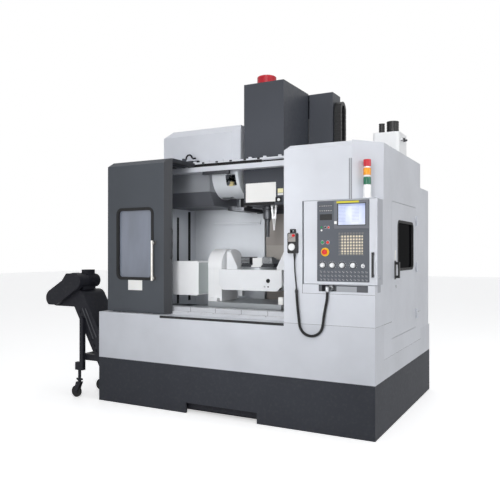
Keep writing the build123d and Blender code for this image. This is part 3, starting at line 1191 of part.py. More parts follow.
def fixture_vise():
    """The centring vise on the plate: base, screw blocks and two stepped jaws."""
    x0 = PLATE_X - VISE_LENGTH / 2
    x1 = PLATE_X + VISE_LENGTH / 2
    base = box(x0, x1, VISE_Y0 + 20, VISE_Y1 - 20, PLATE_TOP, VISE_BASE_TOP - 8)
    base += box(x0, x1, VISE_Y0 + 34, VISE_Y1 - 34, VISE_BASE_TOP - 8, VISE_BASE_TOP)
    for y0 in (VISE_Y0, VISE_Y1 - 20):
        base += box(x0 + 90, x1 - 60, y0, y0 + 20, PLATE_TOP, PLATE_TOP + 14)
    left = box(x0 + 6, x0 + 96, VISE_Y0 + 4, VISE_Y1 - 4, VISE_BASE_TOP, VISE_TOP)
    for index in range(6):
        x = x0 + 14 + index * 14
        left -= box(x, x + 5, VISE_Y0 + 3, VISE_Y1 - 3, VISE_TOP - 5, VISE_TOP + 1)
    middle = box(PLATE_X - 48, PLATE_X + 48, VISE_Y0 + 22, VISE_Y1 - 22, VISE_BASE_TOP, VISE_TOP - 8)
    right = prism_y(
        [(x1 - 6, VISE_BASE_TOP), (x1 - 6, VISE_TOP - 24), (x1 - 34, VISE_TOP - 24),
         (x1 - 34, VISE_TOP - 10), (x1 - 60, VISE_TOP - 10), (x1 - 60, VISE_TOP), (x1 - 100, VISE_TOP),
         (x1 - 100, VISE_BASE_TOP)],
        VISE_Y0 + 4, VISE_Y1 - 4)
    for index in range(3):
        z = VISE_BASE_TOP + 8 + index * 14
        right -= box(x1 - 101, x1 - 5, VISE_Y0 + 3, VISE_Y0 + 10, z, z + 5)
    return joined([base, left, middle, right])


# Head, column and chain


def column_casting():
    """The column with its lean back, head rails and the lift motor on top."""
    body = prism_x(
        [(COLUMN_Y0, BED_TOP), (COLUMN_Y1, BED_TOP), (COLUMN_Y1, COLUMN_SHOULDER),
         (COLUMN_NECK_Y, BEAM_Z0), (COLUMN_NECK_Y, COLUMN_TOP), (COLUMN_Y0, COLUMN_TOP)],
        COLUMN_X0, COLUMN_X1)
    for x in Z_RAIL_X:
        body += box(x - RAIL_WIDTH / 2, x + RAIL_WIDTH / 2, COLUMN_Y0 - RAIL_HEIGHT, COLUMN_Y0,
                    1180, COLUMN_TOP - 20)
    motor = box(SPINDLE_X - 60, SPINDLE_X + 60, COLUMN_Y0 + 10, COLUMN_Y0 + 130, COLUMN_TOP,
                COLUMN_COVER_TOP - 30)
    return body + motor


def column_cover():
    """The dark sheet cover round the top of the column, open where the head runs."""
    cover = box(COLUMN_COVER_X0, COLUMN_COVER_X1, COLUMN_COVER_Y0, COLUMN_COVER_Y1,
                ENCLOSURE_TOP, COLUMN_COVER_TOP)
    cover -= box(COLUMN_COVER_X0 + SHEET, COLUMN_COVER_X1 - SHEET, COLUMN_COVER_Y0 + SHEET,
                 COLUMN_COVER_Y1 - SHEET, ENCLOSURE_TOP - 1, COLUMN_COVER_TOP - SHEET)
    cover -= box(HEAD_X0 - 10, HEAD_X1 + 10, COLUMN_COVER_Y0 - 1, COLUMN_COVER_Y0 + SHEET + 1,
                 ENCLOSURE_TOP - 1, COLUMN_COVER_TOP - SHEET)
    for x in (COLUMN_COVER_X0 + SHEET, COLUMN_COVER_X1 - SHEET - 30):
        cover += box(x, x + 30, COLUMN_COVER_Y1 - 40, COLUMN_COVER_Y1 - SHEET, ENCLOSURE_TOP,
                     ENCLOSURE_TOP + 30)
    bracket = box(COLUMN_X0, COLUMN_COVER_X1 - SHEET, COLUMN_NECK_Y, COLUMN_COVER_Y1 - SHEET,
                  COLUMN_TOP - 60, COLUMN_TOP - 20)
    guide = box(COLUMN_COVER_X1, CHAIN_X0 - SEAT_GAP, CHAIN_Y - 50, CHAIN_Y + 50, ENCLOSURE_TOP + 40,
                COLUMN_COVER_TOP - 300)
    return cover + bracket + guide


def head_casting():
    """The spindle carrier: nose, body, guide blocks on the column rails."""
    body = box(HEAD_X0 + WALL, HEAD_X1 - WALL, HEAD_Y0 + 60, HEAD_Y1 - HEAD_COVER_SHEET, HEAD_BODY_Z0,
               HEAD_BODY_Z1)
    body += rod_z(SPINDLE_X, SPINDLE_Y, NOSE_RADIUS, HEAD_Z0 + HEAD_COVER_SHEET, HEAD_BODY_Z0)
    for x in Z_RAIL_X:
        for z in (HEAD_BODY_Z0 + 90, HEAD_BODY_Z1 - 140):
            block = box(x - 46, x + 46, HEAD_Y1 - 6, COLUMN_Y0 - 8, z, z + 130)
            block -= box(x - RAIL_WIDTH / 2 - RUNNER_GAP, x + RAIL_WIDTH / 2 + RUNNER_GAP,
                         COLUMN_Y0 - RAIL_HEIGHT - RUNNER_GAP, COLUMN_Y0, z - 1, z + 131)
            body += block
    body -= rod_z(SPINDLE_X, SPINDLE_Y, 40.0 + FIT_GAP, HEAD_Z0 - 1, SPINDLE_TOP + 2)
    return body


def head_cover():
    """The folded sheet round the head, with the motor cap, the lamp box and the top segment
    of the way cover."""
    cover = box(HEAD_X0, HEAD_X1, HEAD_Y0, HEAD_Y1, HEAD_Z0, HEAD_Z1)
    cover -= box(HEAD_X0 + HEAD_COVER_SHEET, HEAD_X1 - HEAD_COVER_SHEET, HEAD_Y0 + HEAD_COVER_SHEET,
                 HEAD_Y1 + 1, HEAD_Z0 + HEAD_COVER_SHEET, HEAD_Z1 - HEAD_COVER_SHEET)
    cover -= rod_z(SPINDLE_X, SPINDLE_Y, 44.0, HEAD_Z0 - 1, HEAD_Z0 + HEAD_COVER_SHEET + 1)
    cap_profile = [(0, HEAD_Z1), (MOTOR_RADIUS + 7, HEAD_Z1), (MOTOR_RADIUS + 7, HEAD_Z1 + 10),
                   (MOTOR_RADIUS, HEAD_Z1 + 14), (MOTOR_RADIUS, MOTOR_TOP - 8),
                   (MOTOR_RADIUS - 8, MOTOR_TOP), (0, MOTOR_TOP)]
    cover += turned_z(cap_profile, SPINDLE_X - 12, SPINDLE_Y)
    lamp_y = HEAD_Y0 - LAMP_DEPTH
    cover += box(HEAD_X1 - 78, HEAD_X1 - 20, lamp_y, HEAD_Y0, HEAD_Z0 + 20, HEAD_Z0 + 66)
    cover += rod_y(HEAD_X1 - 44, HEAD_Z0 + 42, 14.0, lamp_y - 4, lamp_y)
    cover += box(HEAD_X0, HEAD_X1 - 90, HEAD_Y0 - HEAD_LIP, HEAD_Y0, HEAD_Z0, HEAD_Z0 + 24)
    skirt = box(Z_COVER_X0, Z_COVER_X1, Z_COVER_Y, Z_COVER_Y + COVER_SHEET, Z_SKIRT_Z0, Z_SKIRT_SHOULDER)
    skirt += box(HEAD_X0, HEAD_X1, Z_COVER_Y, Z_COVER_Y + COVER_SHEET, Z_SKIRT_SHOULDER, HEAD_Z0)
    for x in (Z_COVER_X0, Z_COVER_X1 - COVER_SHEET):
        skirt += box(x, x + COVER_SHEET, Z_COVER_Y, HEAD_Y1 - 20, Z_SKIRT_Z0, Z_SKIRT_SHOULDER)
    return cover + skirt


def z_cover():
    """The middle segment of the way cover behind the spindle."""
    y = Z_COVER_Y + Z_COVER_STEP
    x0 = Z_COVER_X0 + Z_COVER_STEP
    x1 = Z_COVER_X1 - Z_COVER_STEP
    sheet = box(x0, x1, y, y + COVER_SHEET, Z_MIDDLE_Z0, Z_MIDDLE_Z1)
    for x in (x0, x1 - COVER_SHEET):
        sheet += box(x, x + COVER_SHEET, y, HEAD_Y1 - 30, Z_MIDDLE_Z0, Z_MIDDLE_Z1)
    return sheet


def spindle_tool():
    """The spindle with a holder and its cutter."""
    groove = FLANGE_RADIUS - 7
    middle = (FLANGE_Z0 + FLANGE_Z1) / 2
    profile = [
        (0, TOOL_TIP), (TOOL_RADIUS, TOOL_TIP), (TOOL_RADIUS, HOLDER_BOTTOM), (22, HOLDER_BOTTOM),
        (26, HOLDER_BOTTOM + 26), (44, HOLDER_BOTTOM + 32), (44, FLANGE_Z0 - 2),
        (FLANGE_RADIUS, FLANGE_Z0 + 2), (FLANGE_RADIUS, middle - 5), (groove, middle), (FLANGE_RADIUS, middle + 5),
        (FLANGE_RADIUS, FLANGE_Z1), (40, FLANGE_Z1), (40, SPINDLE_TOP), (0, SPINDLE_TOP)]
    tool = turned_z(profile, SPINDLE_X, SPINDLE_Y)
    for index in range(4):
        flute = rod_z(TOOL_RADIUS, 0, 6.0, TOOL_TIP - 1, TOOL_TIP + 90)
        tool -= Pos(SPINDLE_X, SPINDLE_Y, 0) * (Rot(0, 0, 90.0 * index) * flute)
    return tool


def cable_chain():
    """The drag chain: links along two strands and round the bend on top."""
    links = []
    half = CHAIN_THICK / 2
    bend_z = CHAIN_TOP - CHAIN_BEND - half
    for side in (-1, 1):
        y = CHAIN_Y + side * CHAIN_BEND
        for index in range(CHAIN_LINKS):
            top = bend_z - CHAIN_LINK * index
            links.append(chain_link(y - half, y + half, top - CHAIN_LINK, top))
    outer = rod_x(CHAIN_Y, bend_z, CHAIN_BEND + half, CHAIN_X0, CHAIN_X1)
    outer -= rod_x(CHAIN_Y, bend_z, CHAIN_BEND - half, CHAIN_X0 - 1, CHAIN_X1 + 1)
    outer -= box(CHAIN_X0 - 1, CHAIN_X1 + 1, CHAIN_Y - 200, CHAIN_Y + 200, bend_z - 200, bend_z)
    for index in range(1, 6):
        notch = Rot(30.0 * index, 0, 0) * box(CHAIN_X0 - 1, CHAIN_X1 + 1, CHAIN_BEND + half - 5, 200, -2, 2)
        outer -= Pos(0, CHAIN_Y, bend_z) * notch
    return joined([outer] + links)


def chain_link(y0, y1, z0, z1):
    """One link, narrower at its joint so that the links read apart."""
    link = box(CHAIN_X0, CHAIN_X1, y0, y1, z0 + 4, z1)
    link += box(CHAIN_X0 + 5, CHAIN_X1 - 5, y0 + 4, y1 - 4, z0, z0 + 4)
    return link


# Tool changer


def magazine_hood():
    """The cover over the top half of the tool drum, open underneath."""
    outline = [(HOOD_X0, BEAM_Z0), (HOOD_X1, BEAM_Z0), (HOOD_X1, HOOD_TOP),
               (HOOD_X0 + HOOD_CHAMFER, HOOD_TOP), (HOOD_X0, HOOD_TOP - HOOD_CHAMFER)]
    hood = prism_y(outline, HOOD_Y0, HOOD_Y1)
    roof = HOOD_TOP - SHEET
    inner = [(HOOD_X0 + SHEET, BEAM_Z0 - 1), (HOOD_X1 - SHEET, BEAM_Z0 - 1), (HOOD_X1 - SHEET, roof),
             (HOOD_X0 + HOOD_CHAMFER, roof), (HOOD_X0 + SHEET, roof - HOOD_CHAMFER)]
    band = [(HOOD_Y0 - 1, HOOD_TOP - HOOD_CHAMFER), (HOOD_Y0 + HOOD_CHAMFER, HOOD_TOP + 1),
            (HOOD_Y0 - 1, HOOD_TOP + 1)]
    hood -= prism_x(band, HOOD_X0 - 1, HOOD_X1 + 1)
    hollow = prism_y(inner, HOOD_Y0 + SHEET, HOOD_Y1 - SHEET)
    band_in = [(HOOD_Y0, HOOD_TOP - HOOD_CHAMFER - 2 * SHEET),
               (HOOD_Y0 + HOOD_CHAMFER + 2 * SHEET, HOOD_TOP), (HOOD_Y0, HOOD_TOP)]
    hollow -= prism_x(band_in, HOOD_X0, HOOD_X1)
    hood -= hollow
    edge = HOOD_X1 - 60
    hood -= prism_z([(edge, HOOD_Y0 - 1), (HOOD_X1 + 1, HOOD_Y0 - 1), (HOOD_X1 + 1, HOOD_Y0 + 60)],
                    BEAM_Z0 - 1, HOOD_TOP + 1)
    plate = prism_z([(edge, HOOD_Y0), (HOOD_X1, HOOD_Y0 + 60), (HOOD_X1 - 5, HOOD_Y0 + 62),
                     (edge - 2, HOOD_Y0 + 6)], BEAM_Z0, HOOD_TOP - HOOD_CHAMFER)
    return hood + plate


def drum_cover():
    """The trough round the lower half of the drum, the guard beside it and the changer gearbox."""
    wall = 6.0
    trough = rod_x(DRUM_Y, DRUM_Z, DRUM_RADIUS, DRUM_X0, DRUM_X1)
    trough -= rod_x(DRUM_Y, DRUM_Z, DRUM_RADIUS - wall, DRUM_X0 + wall, DRUM_X1 - wall)
    trough -= box(DRUM_X0 - 1, DRUM_X1 + 1, DRUM_Y - 400, DRUM_Y + 400, BEAM_Z0, DRUM_Z + 400)
    trough -= box(DRUM_WINDOW_X0, DRUM_WINDOW_X1, DRUM_Y - 300, DRUM_Y, DRUM_WINDOW_Z0, DRUM_WINDOW_Z1)
    trough -= box(DISC_X0 - 4, DISC_X1 + 4, DRUM_Y - 90, DRUM_Y + 90, DRUM_Z - DRUM_RADIUS - 1,
                  DRUM_Z - DRUM_RADIUS + 60)
    outline = [(GUARD_FRONT_Y, BEAM_Z0), (GUARD_FRONT_Y, GUARD_LIP_Z), (GUARD_KNEE_Y, GUARD_BOTTOM),
               (GUARD_BACK_Y, GUARD_BOTTOM), (GUARD_BACK_Y, BEAM_Z0)]
    inner = [(GUARD_FRONT_Y + wall, BEAM_Z0 + 1), (GUARD_FRONT_Y + wall, GUARD_LIP_Z + 3),
             (GUARD_KNEE_Y + 4, GUARD_BOTTOM + wall), (GUARD_BACK_Y - wall, GUARD_BOTTOM + wall),
             (GUARD_BACK_Y - wall, BEAM_Z0 + 1)]
    guard = prism_x(outline, HOOD_X0, DRUM_X0) - prism_x(inner, HOOD_X0 + wall, DRUM_X0 + 1)
    end_wall = prism_x(outline, DRUM_X0 - wall, DRUM_X0)
    guard += end_wall - rod_x(DRUM_Y, DRUM_Z, DRUM_RADIUS - wall, DRUM_X0 - 50, DRUM_X0 + 1)
    flange = box(DRUM_X0, DRUM_X1, HOOD_Y0, DRUM_Y - DRUM_RADIUS + 8, BEAM_Z0 - wall, BEAM_Z0)
    gearbox = rod_z(CHANGER_X, DRUM_Y, GEARBOX_RADIUS, GEARBOX_BOTTOM, DRUM_Z - DRUM_RADIUS + 60)
    gearbox += box(CHANGER_X - 62, DRUM_X1, DRUM_Y - 60, DRUM_Y + 60, DRUM_Z - DRUM_RADIUS + 8, BEAM_Z0)
    gearbox -= rod_z(CHANGER_X, DRUM_Y, CHANGER_SHAFT + FIT_GAP, GEARBOX_BOTTOM - 1, GEARBOX_BOTTOM + 90)
    bearing = box(DISC_X1 + 12, DRUM_X1 - wall, DRUM_Y - 45, DRUM_Y + 45, DRUM_Z - 90, DRUM_Z + 38)
    bearing += rod_x(DRUM_Y, DRUM_Z, DRUM_SHAFT_RADIUS, DISC_X0 + 2, DISC_X1 + 12)
    return joined([trough, guard, flange, gearbox, bearing])


def magazine_disc():
    """The tool disc: a plate with a ring of pots."""
    disc = rod_x(DRUM_Y, DRUM_Z, POT_PITCH_RADIUS + POT_RADIUS * 0.9, DISC_X0 + 50, DISC_X0 + 70)
    disc += rod_x(DRUM_Y, DRUM_Z, 60.0, DISC_X0 + 20, DISC_X1)
    for index in range(POT_COUNT):
        turn = radians(360.0 / POT_COUNT * index + 11.25)
        y = DRUM_Y + POT_PITCH_RADIUS * cos(turn)
        z = DRUM_Z + POT_PITCH_RADIUS * sin(turn)
        pot = rod_x(y, z, POT_RADIUS, DISC_X0, DISC_X1 - 10)
        pot -= rod_x(y, z, POT_RADIUS - 8, DISC_X0 - 1, DISC_X0 + 45)
        disc += pot
    disc -= rod_x(DRUM_Y, DRUM_Z, DRUM_SHAFT_RADIUS + FIT_GAP, DISC_X0, DISC_X1 + 1)
    return disc


def tool_change_arm():
    """The two-ended gripping arm on its shaft; each jaw opens on the side it swings towards."""
    pocket = FLANGE_RADIUS + CHANGER_JAW_GAP
    jaw = pocket + CHANGER_JAW_WALL
    reach = CHANGER_HALF + jaw + 1
    arm = box(-CHANGER_WIDTH, CHANGER_WIDTH, -CHANGER_HALF, CHANGER_HALF, CHANGER_Z0, CHANGER_Z1)
    path = rod_z(0, 0, CHANGER_HALF + pocket, CHANGER_Z0 - 1, CHANGER_Z1 + 1)
    path -= rod_z(0, 0, CHANGER_HALF - pocket, CHANGER_Z0 - 2, CHANGER_Z1 + 2)
    for side in (-1, 1):
        arm += rod_z(0, side * CHANGER_HALF, jaw, CHANGER_Z0, CHANGER_Z1)
    for side in (-1, 1):
        arm -= rod_z(0, side * CHANGER_HALF, pocket, CHANGER_Z0 - 1, CHANGER_Z1 + 1)
    arm -= path & box(0, reach, -reach, 0, CHANGER_Z0 - 2, CHANGER_Z1 + 2)
    arm -= path & box(-reach, 0, 0, reach, CHANGER_Z0 - 2, CHANGER_Z1 + 2)
    arm += rod_z(0, 0, CHANGER_SHAFT, CHANGER_Z1, GEARBOX_BOTTOM + 88)
    return Pos(CHANGER_X, DRUM_Y, 0) * arm


# Services


def mist_unit():
    """The mist collector on the roof with its two ribbed caps and fittings."""
    body = rounded_z(MIST_X0, MIST_X1, MIST_Y0, MIST_Y1, ENCLOSURE_TOP, MIST_TOP, MIST_EDGE)
    middle = (MIST_Y0 + MIST_Y1) / 2
    caps = ((MIST_X0 + 55, middle - 40, 27.0, 100.0), (MIST_X0 + 145, middle, 55.0, 117.0))
    for x, y, radius, height in caps:
        profile = [(0, MIST_TOP)]
        ribs = 5
        pitch = height / ribs
        for index in range(ribs):
            low = MIST_TOP + pitch * index
            profile += [(radius - 4, low), (radius - 4, low + pitch * 0.4), (radius, low + pitch * 0.4),
                        (radius, low + pitch)]
        profile += [(0, MIST_TOP + height)]
        body += turned_z(profile, x, y)
    for y in (middle - 70, middle + 10):
        body += rod_x(y, MIST_TOP - 60, 14.0, MIST_X1, MIST_X1 + 18)
        body += rod_x(y, MIST_TOP - 60, 9.0, MIST_X1 + 18, MIST_X1 + 34)
    return body


def electrical_cabinet():
    """The rear cabinet: a shell open to the back, with its mounting plate and drives."""
    y0 = ENCLOSURE_BACK_Y
    shell = box(ELECTRIC_X0, 0, y0, ELECTRIC_Y1, REAR_APRON_TOP, ELECTRIC_TOP)
    shell -= box(ELECTRIC_X0 + ELECTRIC_WALL, -ELECTRIC_WALL, y0 + ELECTRIC_WALL, ELECTRIC_Y1 + 1,
                 REAR_APRON_TOP + ELECTRIC_WALL, ELECTRIC_TOP - ELECTRIC_WALL)
    back = y0 + ELECTRIC_WALL
    plate = box(ELECTRIC_X0 + 60, -60, back, back + 6, REAR_APRON_TOP + 80, ELECTRIC_TOP - 80)
    devices = []
    for row, height in enumerate((260.0, 120.0, 160.0)):
        z = REAR_APRON_TOP + 120 + row * 360
        for column in range(4):
            x = ELECTRIC_X0 + 90 + column * 135
            devices.append(box(x, x + 110, back + 6, back + 150, z, z + height))
    for z in (REAR_APRON_TOP + 200, REAR_APRON_TOP + 680, REAR_APRON_TOP + 1160):
        x = ELECTRIC_X0 - HINGE_SETBACK
        devices.append(rod_z(x, rear_hinge_y(), HINGE_RADIUS, z - 45, z))
        devices.append(rod_z(x, rear_hinge_y(), 3.0, z, z + 36))
        devices.append(box(x - 5, ELECTRIC_X0, ELECTRIC_Y1 - 62, rear_hinge_y(), z - 45, z))
    return joined([shell, plate] + devices)


def rear_hinge_y():
    """The hinge line of the rear cabinet door."""
    return ELECTRIC_Y1 + SEAT_GAP + ELECTRIC_DOOR + HINGE_OUT


def electrical_door():
    """The door of the rear cabinet with its handle."""
    y0 = ELECTRIC_Y1 + SEAT_GAP
    y1 = y0 + ELECTRIC_DOOR
    door = box(ELECTRIC_X0 + 4, -4, y0, y1, REAR_APRON_TOP + 6, ELECTRIC_TOP - 6)
    x = ELECTRIC_X0 - HINGE_SETBACK
    for z in (REAR_APRON_TOP + 200, REAR_APRON_TOP + 680, REAR_APRON_TOP + 1160):
        barrel = rod_z(x, rear_hinge_y(), HINGE_RADIUS, z + 0.4, z + 45)
        barrel += box(x + 4.5, x + 40, y1, y1 + 3, z + 0.4, z + 45)
        barrel += box(x + 4.5, x + 10, y1, rear_hinge_y(), z + 0.4, z + 45)
        barrel -= rod_z(x, rear_hinge_y(), 3.0 + FIT_GAP, z - 1, z + 37)
        door += barrel
    handle_z = (REAR_APRON_TOP + ELECTRIC_TOP) / 2
    door += rod_y(-70, handle_z, 16.0, y1, y1 + 14)
    door += box(-79, -61, y1 + 14, y1 + 24, handle_z - 140, handle_z + 16)
    return door


# Chip conveyor


def conveyor_solid(inset, y0, y1):
    """The swept outline of the conveyor, drawn in by an inset: incline, knee and flat end."""
    half = TROUGH_HEIGHT / 2 - inset
    lean = radians(INCLINE_ANGLE)
    foot_x = CURVE_X + TROUGH_HEIGHT / 2 * sin(lean)
    foot_z = CURVE_Z + TROUGH_HEIGHT / 2 * cos(lean)
    rise = (HEAD_SHAFT_Z - foot_z) / sin(lean)
    knee_x = foot_x - rise * cos(lean)
    incline = box(0, rise, y0, y1, -half, half)
    incline = Pos(knee_x, 0, HEAD_SHAFT_Z) * (Rot(0, INCLINE_ANGLE, 0) * incline)
    flat = box(HEAD_SHAFT_X, knee_x, y0, y1, HEAD_SHAFT_Z - half, HEAD_SHAFT_Z + half)
    body = joined([incline, flat, rod_y(knee_x, HEAD_SHAFT_Z, half, y0, y1),
                   rod_y(HEAD_SHAFT_X, HEAD_SHAFT_Z, half, y0, y1)])
    return body - box(-BASE_WIDTH - inset, 0, y0 - 1, y1 + 1, 0, 2000)


def lower_edge_x(z):
    """Where the underside of the incline lies at a height."""
    lean = radians(INCLINE_ANGLE)
    return CURVE_X - (z - CURVE_Z) * cos(lean) / sin(lean)


def conveyor_frame():
    """The trough with its discharge hood, side rail and stand."""
    frame = conveyor_solid(0, CONVEYOR_Y0, CONVEYOR_Y1)
    frame -= conveyor_solid(TROUGH_WALL, CONVEYOR_Y0 + TROUGH_WALL, CONVEYOR_Y1 - TROUGH_WALL)
    frame -= box(HEAD_SHAFT_X - 200, HEAD_SHAFT_X + 30, CONVEYOR_Y0 + TROUGH_WALL, CONVEYOR_Y1 - TROUGH_WALL,
                 HEAD_SHAFT_Z - 200, HEAD_SHAFT_Z - 20)
    top = HEAD_SHAFT_Z + TROUGH_HEIGHT / 2
    outline = [(HEAD_SHAFT_X, top), (HOOD_BACK_X, top), (HOOD_BACK_X, HOOD_PEAK_Z),
               (HOOD_PEAK_X, HOOD_PEAK_Z)]
    hollow = [(HEAD_SHAFT_X - 10, top), (HOOD_BACK_X - SHEET, top),
              (HOOD_BACK_X - SHEET, HOOD_PEAK_Z - SHEET), (HOOD_PEAK_X - 10, HOOD_PEAK_Z - SHEET)]
    hood = prism_y(outline, CONVEYOR_Y0, CONVEYOR_Y1)
    hood -= prism_y(hollow, CONVEYOR_Y0 + SHEET, CONVEYOR_Y1 - SHEET)
    return joined([frame, hood] + stand_parts() + rail_ribs())


def rail_ribs():
    """The short ribs along the near edge of the incline."""
    ribs = []
    lean = radians(INCLINE_ANGLE)
    for index in range(9):
        along = 60.0 + 60.0 * index
        x = CURVE_X - 60 - along * cos(lean)
        z = CURVE_Z + 104 + along * sin(lean)
        rib = box(-14, 14, CONVEYOR_Y0 - 8, CONVEYOR_Y0, -5, 5)
        ribs.append(Pos(x + 70, 0, z - 40) * (Rot(0, INCLINE_ANGLE, 0) * rib))
    return ribs


def stand_parts():
    """The two legs with jack screws, their cross bars and the drive motor plate."""
    pieces = []
    for y in LEG_Y:
        near = y - LEG_WIDTH / 2
        far = y + LEG_WIDTH / 2
        pieces.append(box(LEG_X - LEG_WIDTH / 2, LEG_X + LEG_WIDTH / 2, near, far, LEG_BOTTOM, 770.0))
        pieces.append(box(SOCKET_X0, SOCKET_X1, near, far, LEG_BOTTOM, SOCKET_TOP))
        jack = rod_z(CASTER_X, y, 15.0, CASTER_PLATE_Z + SEAT_GAP, LEG_BOTTOM)
        jack += rod_z(CASTER_X, y, 22.0, CASTER_PLATE_Z + 14, CASTER_PLATE_Z + 28)
        jack += box(CASTER_X - 38, CASTER_X + 38, y - 4, y + 4, CASTER_PLATE_Z + 16, CASTER_PLATE_Z + 34)
        jack -= rod_z(CASTER_X, y, AXLE_RADIUS + FIT_GAP, CASTER_PLATE_Z - 1, CASTER_PLATE_Z + 52)
        pieces.append(jack)
    near_face = LEG_Y[0] + LEG_WIDTH / 2
    far_face = LEG_Y[1] - LEG_WIDTH / 2
    left = LEG_X + LEG_WIDTH / 2
    pieces.append(box(LEG_X - LEG_WIDTH / 2, left, near_face, far_face, 360.0, 420.0))
    strut = [(left, 360.0), (lower_edge_x(360.0), 360.0), (lower_edge_x(420.0), 420.0), (left, 420.0)]
    for y0 in (near_face, far_face - LEG_WIDTH):
        pieces.append(prism_y(strut, y0, y0 + LEG_WIDTH))
    return pieces


def conveyor_belt():
    """The hinged plate belt with its flights, sprockets and head shaft."""
    y0 = CONVEYOR_Y0 + TROUGH_WALL + 6
    y1 = CONVEYOR_Y1 - TROUGH_WALL - 6
    gap = TROUGH_HEIGHT / 2 - SPROCKET_RADIUS
    belt = conveyor_solid(gap - 6, y0, y1) - conveyor_solid(gap, y0 - 1, y1 + 1)
    shaft = rod_y(HEAD_SHAFT_X, HEAD_SHAFT_Z, HEAD_SHAFT_RADIUS, CONVEYOR_Y0 + TROUGH_WALL,
                  CONVEYOR_Y1 - TROUGH_WALL)
    wheels = [rod_y(HEAD_SHAFT_X, HEAD_SHAFT_Z, SPROCKET_RADIUS, y, y + 12)
              for y in (y0 + 30, y1 - 42)]
    return joined([belt, shaft] + wheels)


def conveyor_drive():
    """The chain cover beside the trough and the gear motor with its terminal box."""
    y1 = CONVEYOR_Y0
    y0 = y1 - DRIVE_COVER_THICK
    span = Vector(DRIVE_MOTOR_X - HEAD_SHAFT_X, 0, DRIVE_MOTOR_Z - HEAD_SHAFT_Z)
    lean = Vector(1, 0, 0).get_angle(span)
    bar = box(0, span.length, y0, y1, -DRIVE_COVER_RADIUS, DRIVE_COVER_RADIUS)
    cover = Pos(HEAD_SHAFT_X, 0, HEAD_SHAFT_Z) * (Rot(0, -lean, 0) * bar)
    cover += rod_y(HEAD_SHAFT_X, HEAD_SHAFT_Z, DRIVE_COVER_RADIUS, y0, y1)
    cover += rod_y(DRIVE_MOTOR_X, DRIVE_MOTOR_Z, DRIVE_COVER_RADIUS, y0, y1)
    cover -= box(HEAD_SHAFT_X - 200, HEAD_SHAFT_X + 400, y0 - 1, y1 + 1, HEAD_SHAFT_Z - 200,
                 HEAD_SHAFT_Z - 68)
    motor = rod_y(DRIVE_MOTOR_X, DRIVE_MOTOR_Z, DRIVE_MOTOR_RADIUS, y1, y1 + DRIVE_MOTOR_LENGTH)
    for index in range(7):
        y = y1 + 96 + index * 20
        motor += rod_y(DRIVE_MOTOR_X, DRIVE_MOTOR_Z, DRIVE_MOTOR_RADIUS + 4, y, y + 5)
    motor -= box(HOOD_BACK_X - 50, HOOD_BACK_X, y1, y1 + DRIVE_MOTOR_LENGTH + 1,
                 DRIVE_MOTOR_Z - DRIVE_COVER_RADIUS, DRIVE_MOTOR_Z + DRIVE_COVER_RADIUS)
    plate_top = HEAD_SHAFT_Z + TROUGH_HEIGHT / 2
    motor += box(DRIVE_MOTOR_X - 45, DRIVE_MOTOR_X + 40, y1 + 30, y1 + 200, plate_top,
                 DRIVE_MOTOR_Z - 40)
    motor += box(DRIVE_MOTOR_X - 40, DRIVE_MOTOR_X + 40, y1 + 90, y1 + 190, DRIVE_MOTOR_Z + 50,
                 DRIVE_MOTOR_Z + 108)
    return cover + motor


def caster_fork(y):
    """The swivel fork with its stem and axle."""
    half = CASTER_WHEEL_WIDTH / 2 + 1.0
    wheel_x = CASTER_X - CASTER_TRAIL
    fork = box(CASTER_X - 32, CASTER_X + 26, y - half - FORK_CHEEK, y + half + FORK_CHEEK,
               CASTER_PLATE_Z - 10, CASTER_PLATE_Z)
    cheek = [(CASTER_X - 32, CASTER_PLATE_Z - 10), (CASTER_X + 22, CASTER_PLATE_Z - 10),
             (wheel_x + 15, CASTER_WHEEL_RADIUS - 15), (wheel_x - 15, CASTER_WHEEL_RADIUS - 15),
             (wheel_x - 15, CASTER_WHEEL_RADIUS + 25)]
    for y0 in (y - half - FORK_CHEEK, y + half):
        fork += prism_y(cheek, y0, y0 + FORK_CHEEK)
    reach = half + FORK_CHEEK + 4
    fork += rod_y(wheel_x, CASTER_WHEEL_RADIUS, AXLE_RADIUS, y - reach, y + reach)
    return fork + rod_z(CASTER_X, y, AXLE_RADIUS, CASTER_PLATE_Z, CASTER_PLATE_Z + 50)


def caster_wheel(y):
    """The wheel, with a raised hub."""
    half = CASTER_WHEEL_WIDTH / 2
    profile = [(AXLE_RADIUS + FIT_GAP, y - half), (22, y - half), (26, y - half + 4),
               (CASTER_WHEEL_RADIUS - 12, y - half + 4),
               (CASTER_WHEEL_RADIUS - 4, y - half), (CASTER_WHEEL_RADIUS, y - half + 5),
               (CASTER_WHEEL_RADIUS, y + half - 5), (CASTER_WHEEL_RADIUS - 4, y + half),
               (CASTER_WHEEL_RADIUS - 12, y + half - 4), (26, y + half - 4), (22, y + half),
               (AXLE_RADIUS + FIT_GAP, y + half)]
    return turned_y(profile, CASTER_X - CASTER_TRAIL, CASTER_WHEEL_RADIUS)


# The whole machine

CORD_NODES = ("pendant_cable", "cable_sleeve")


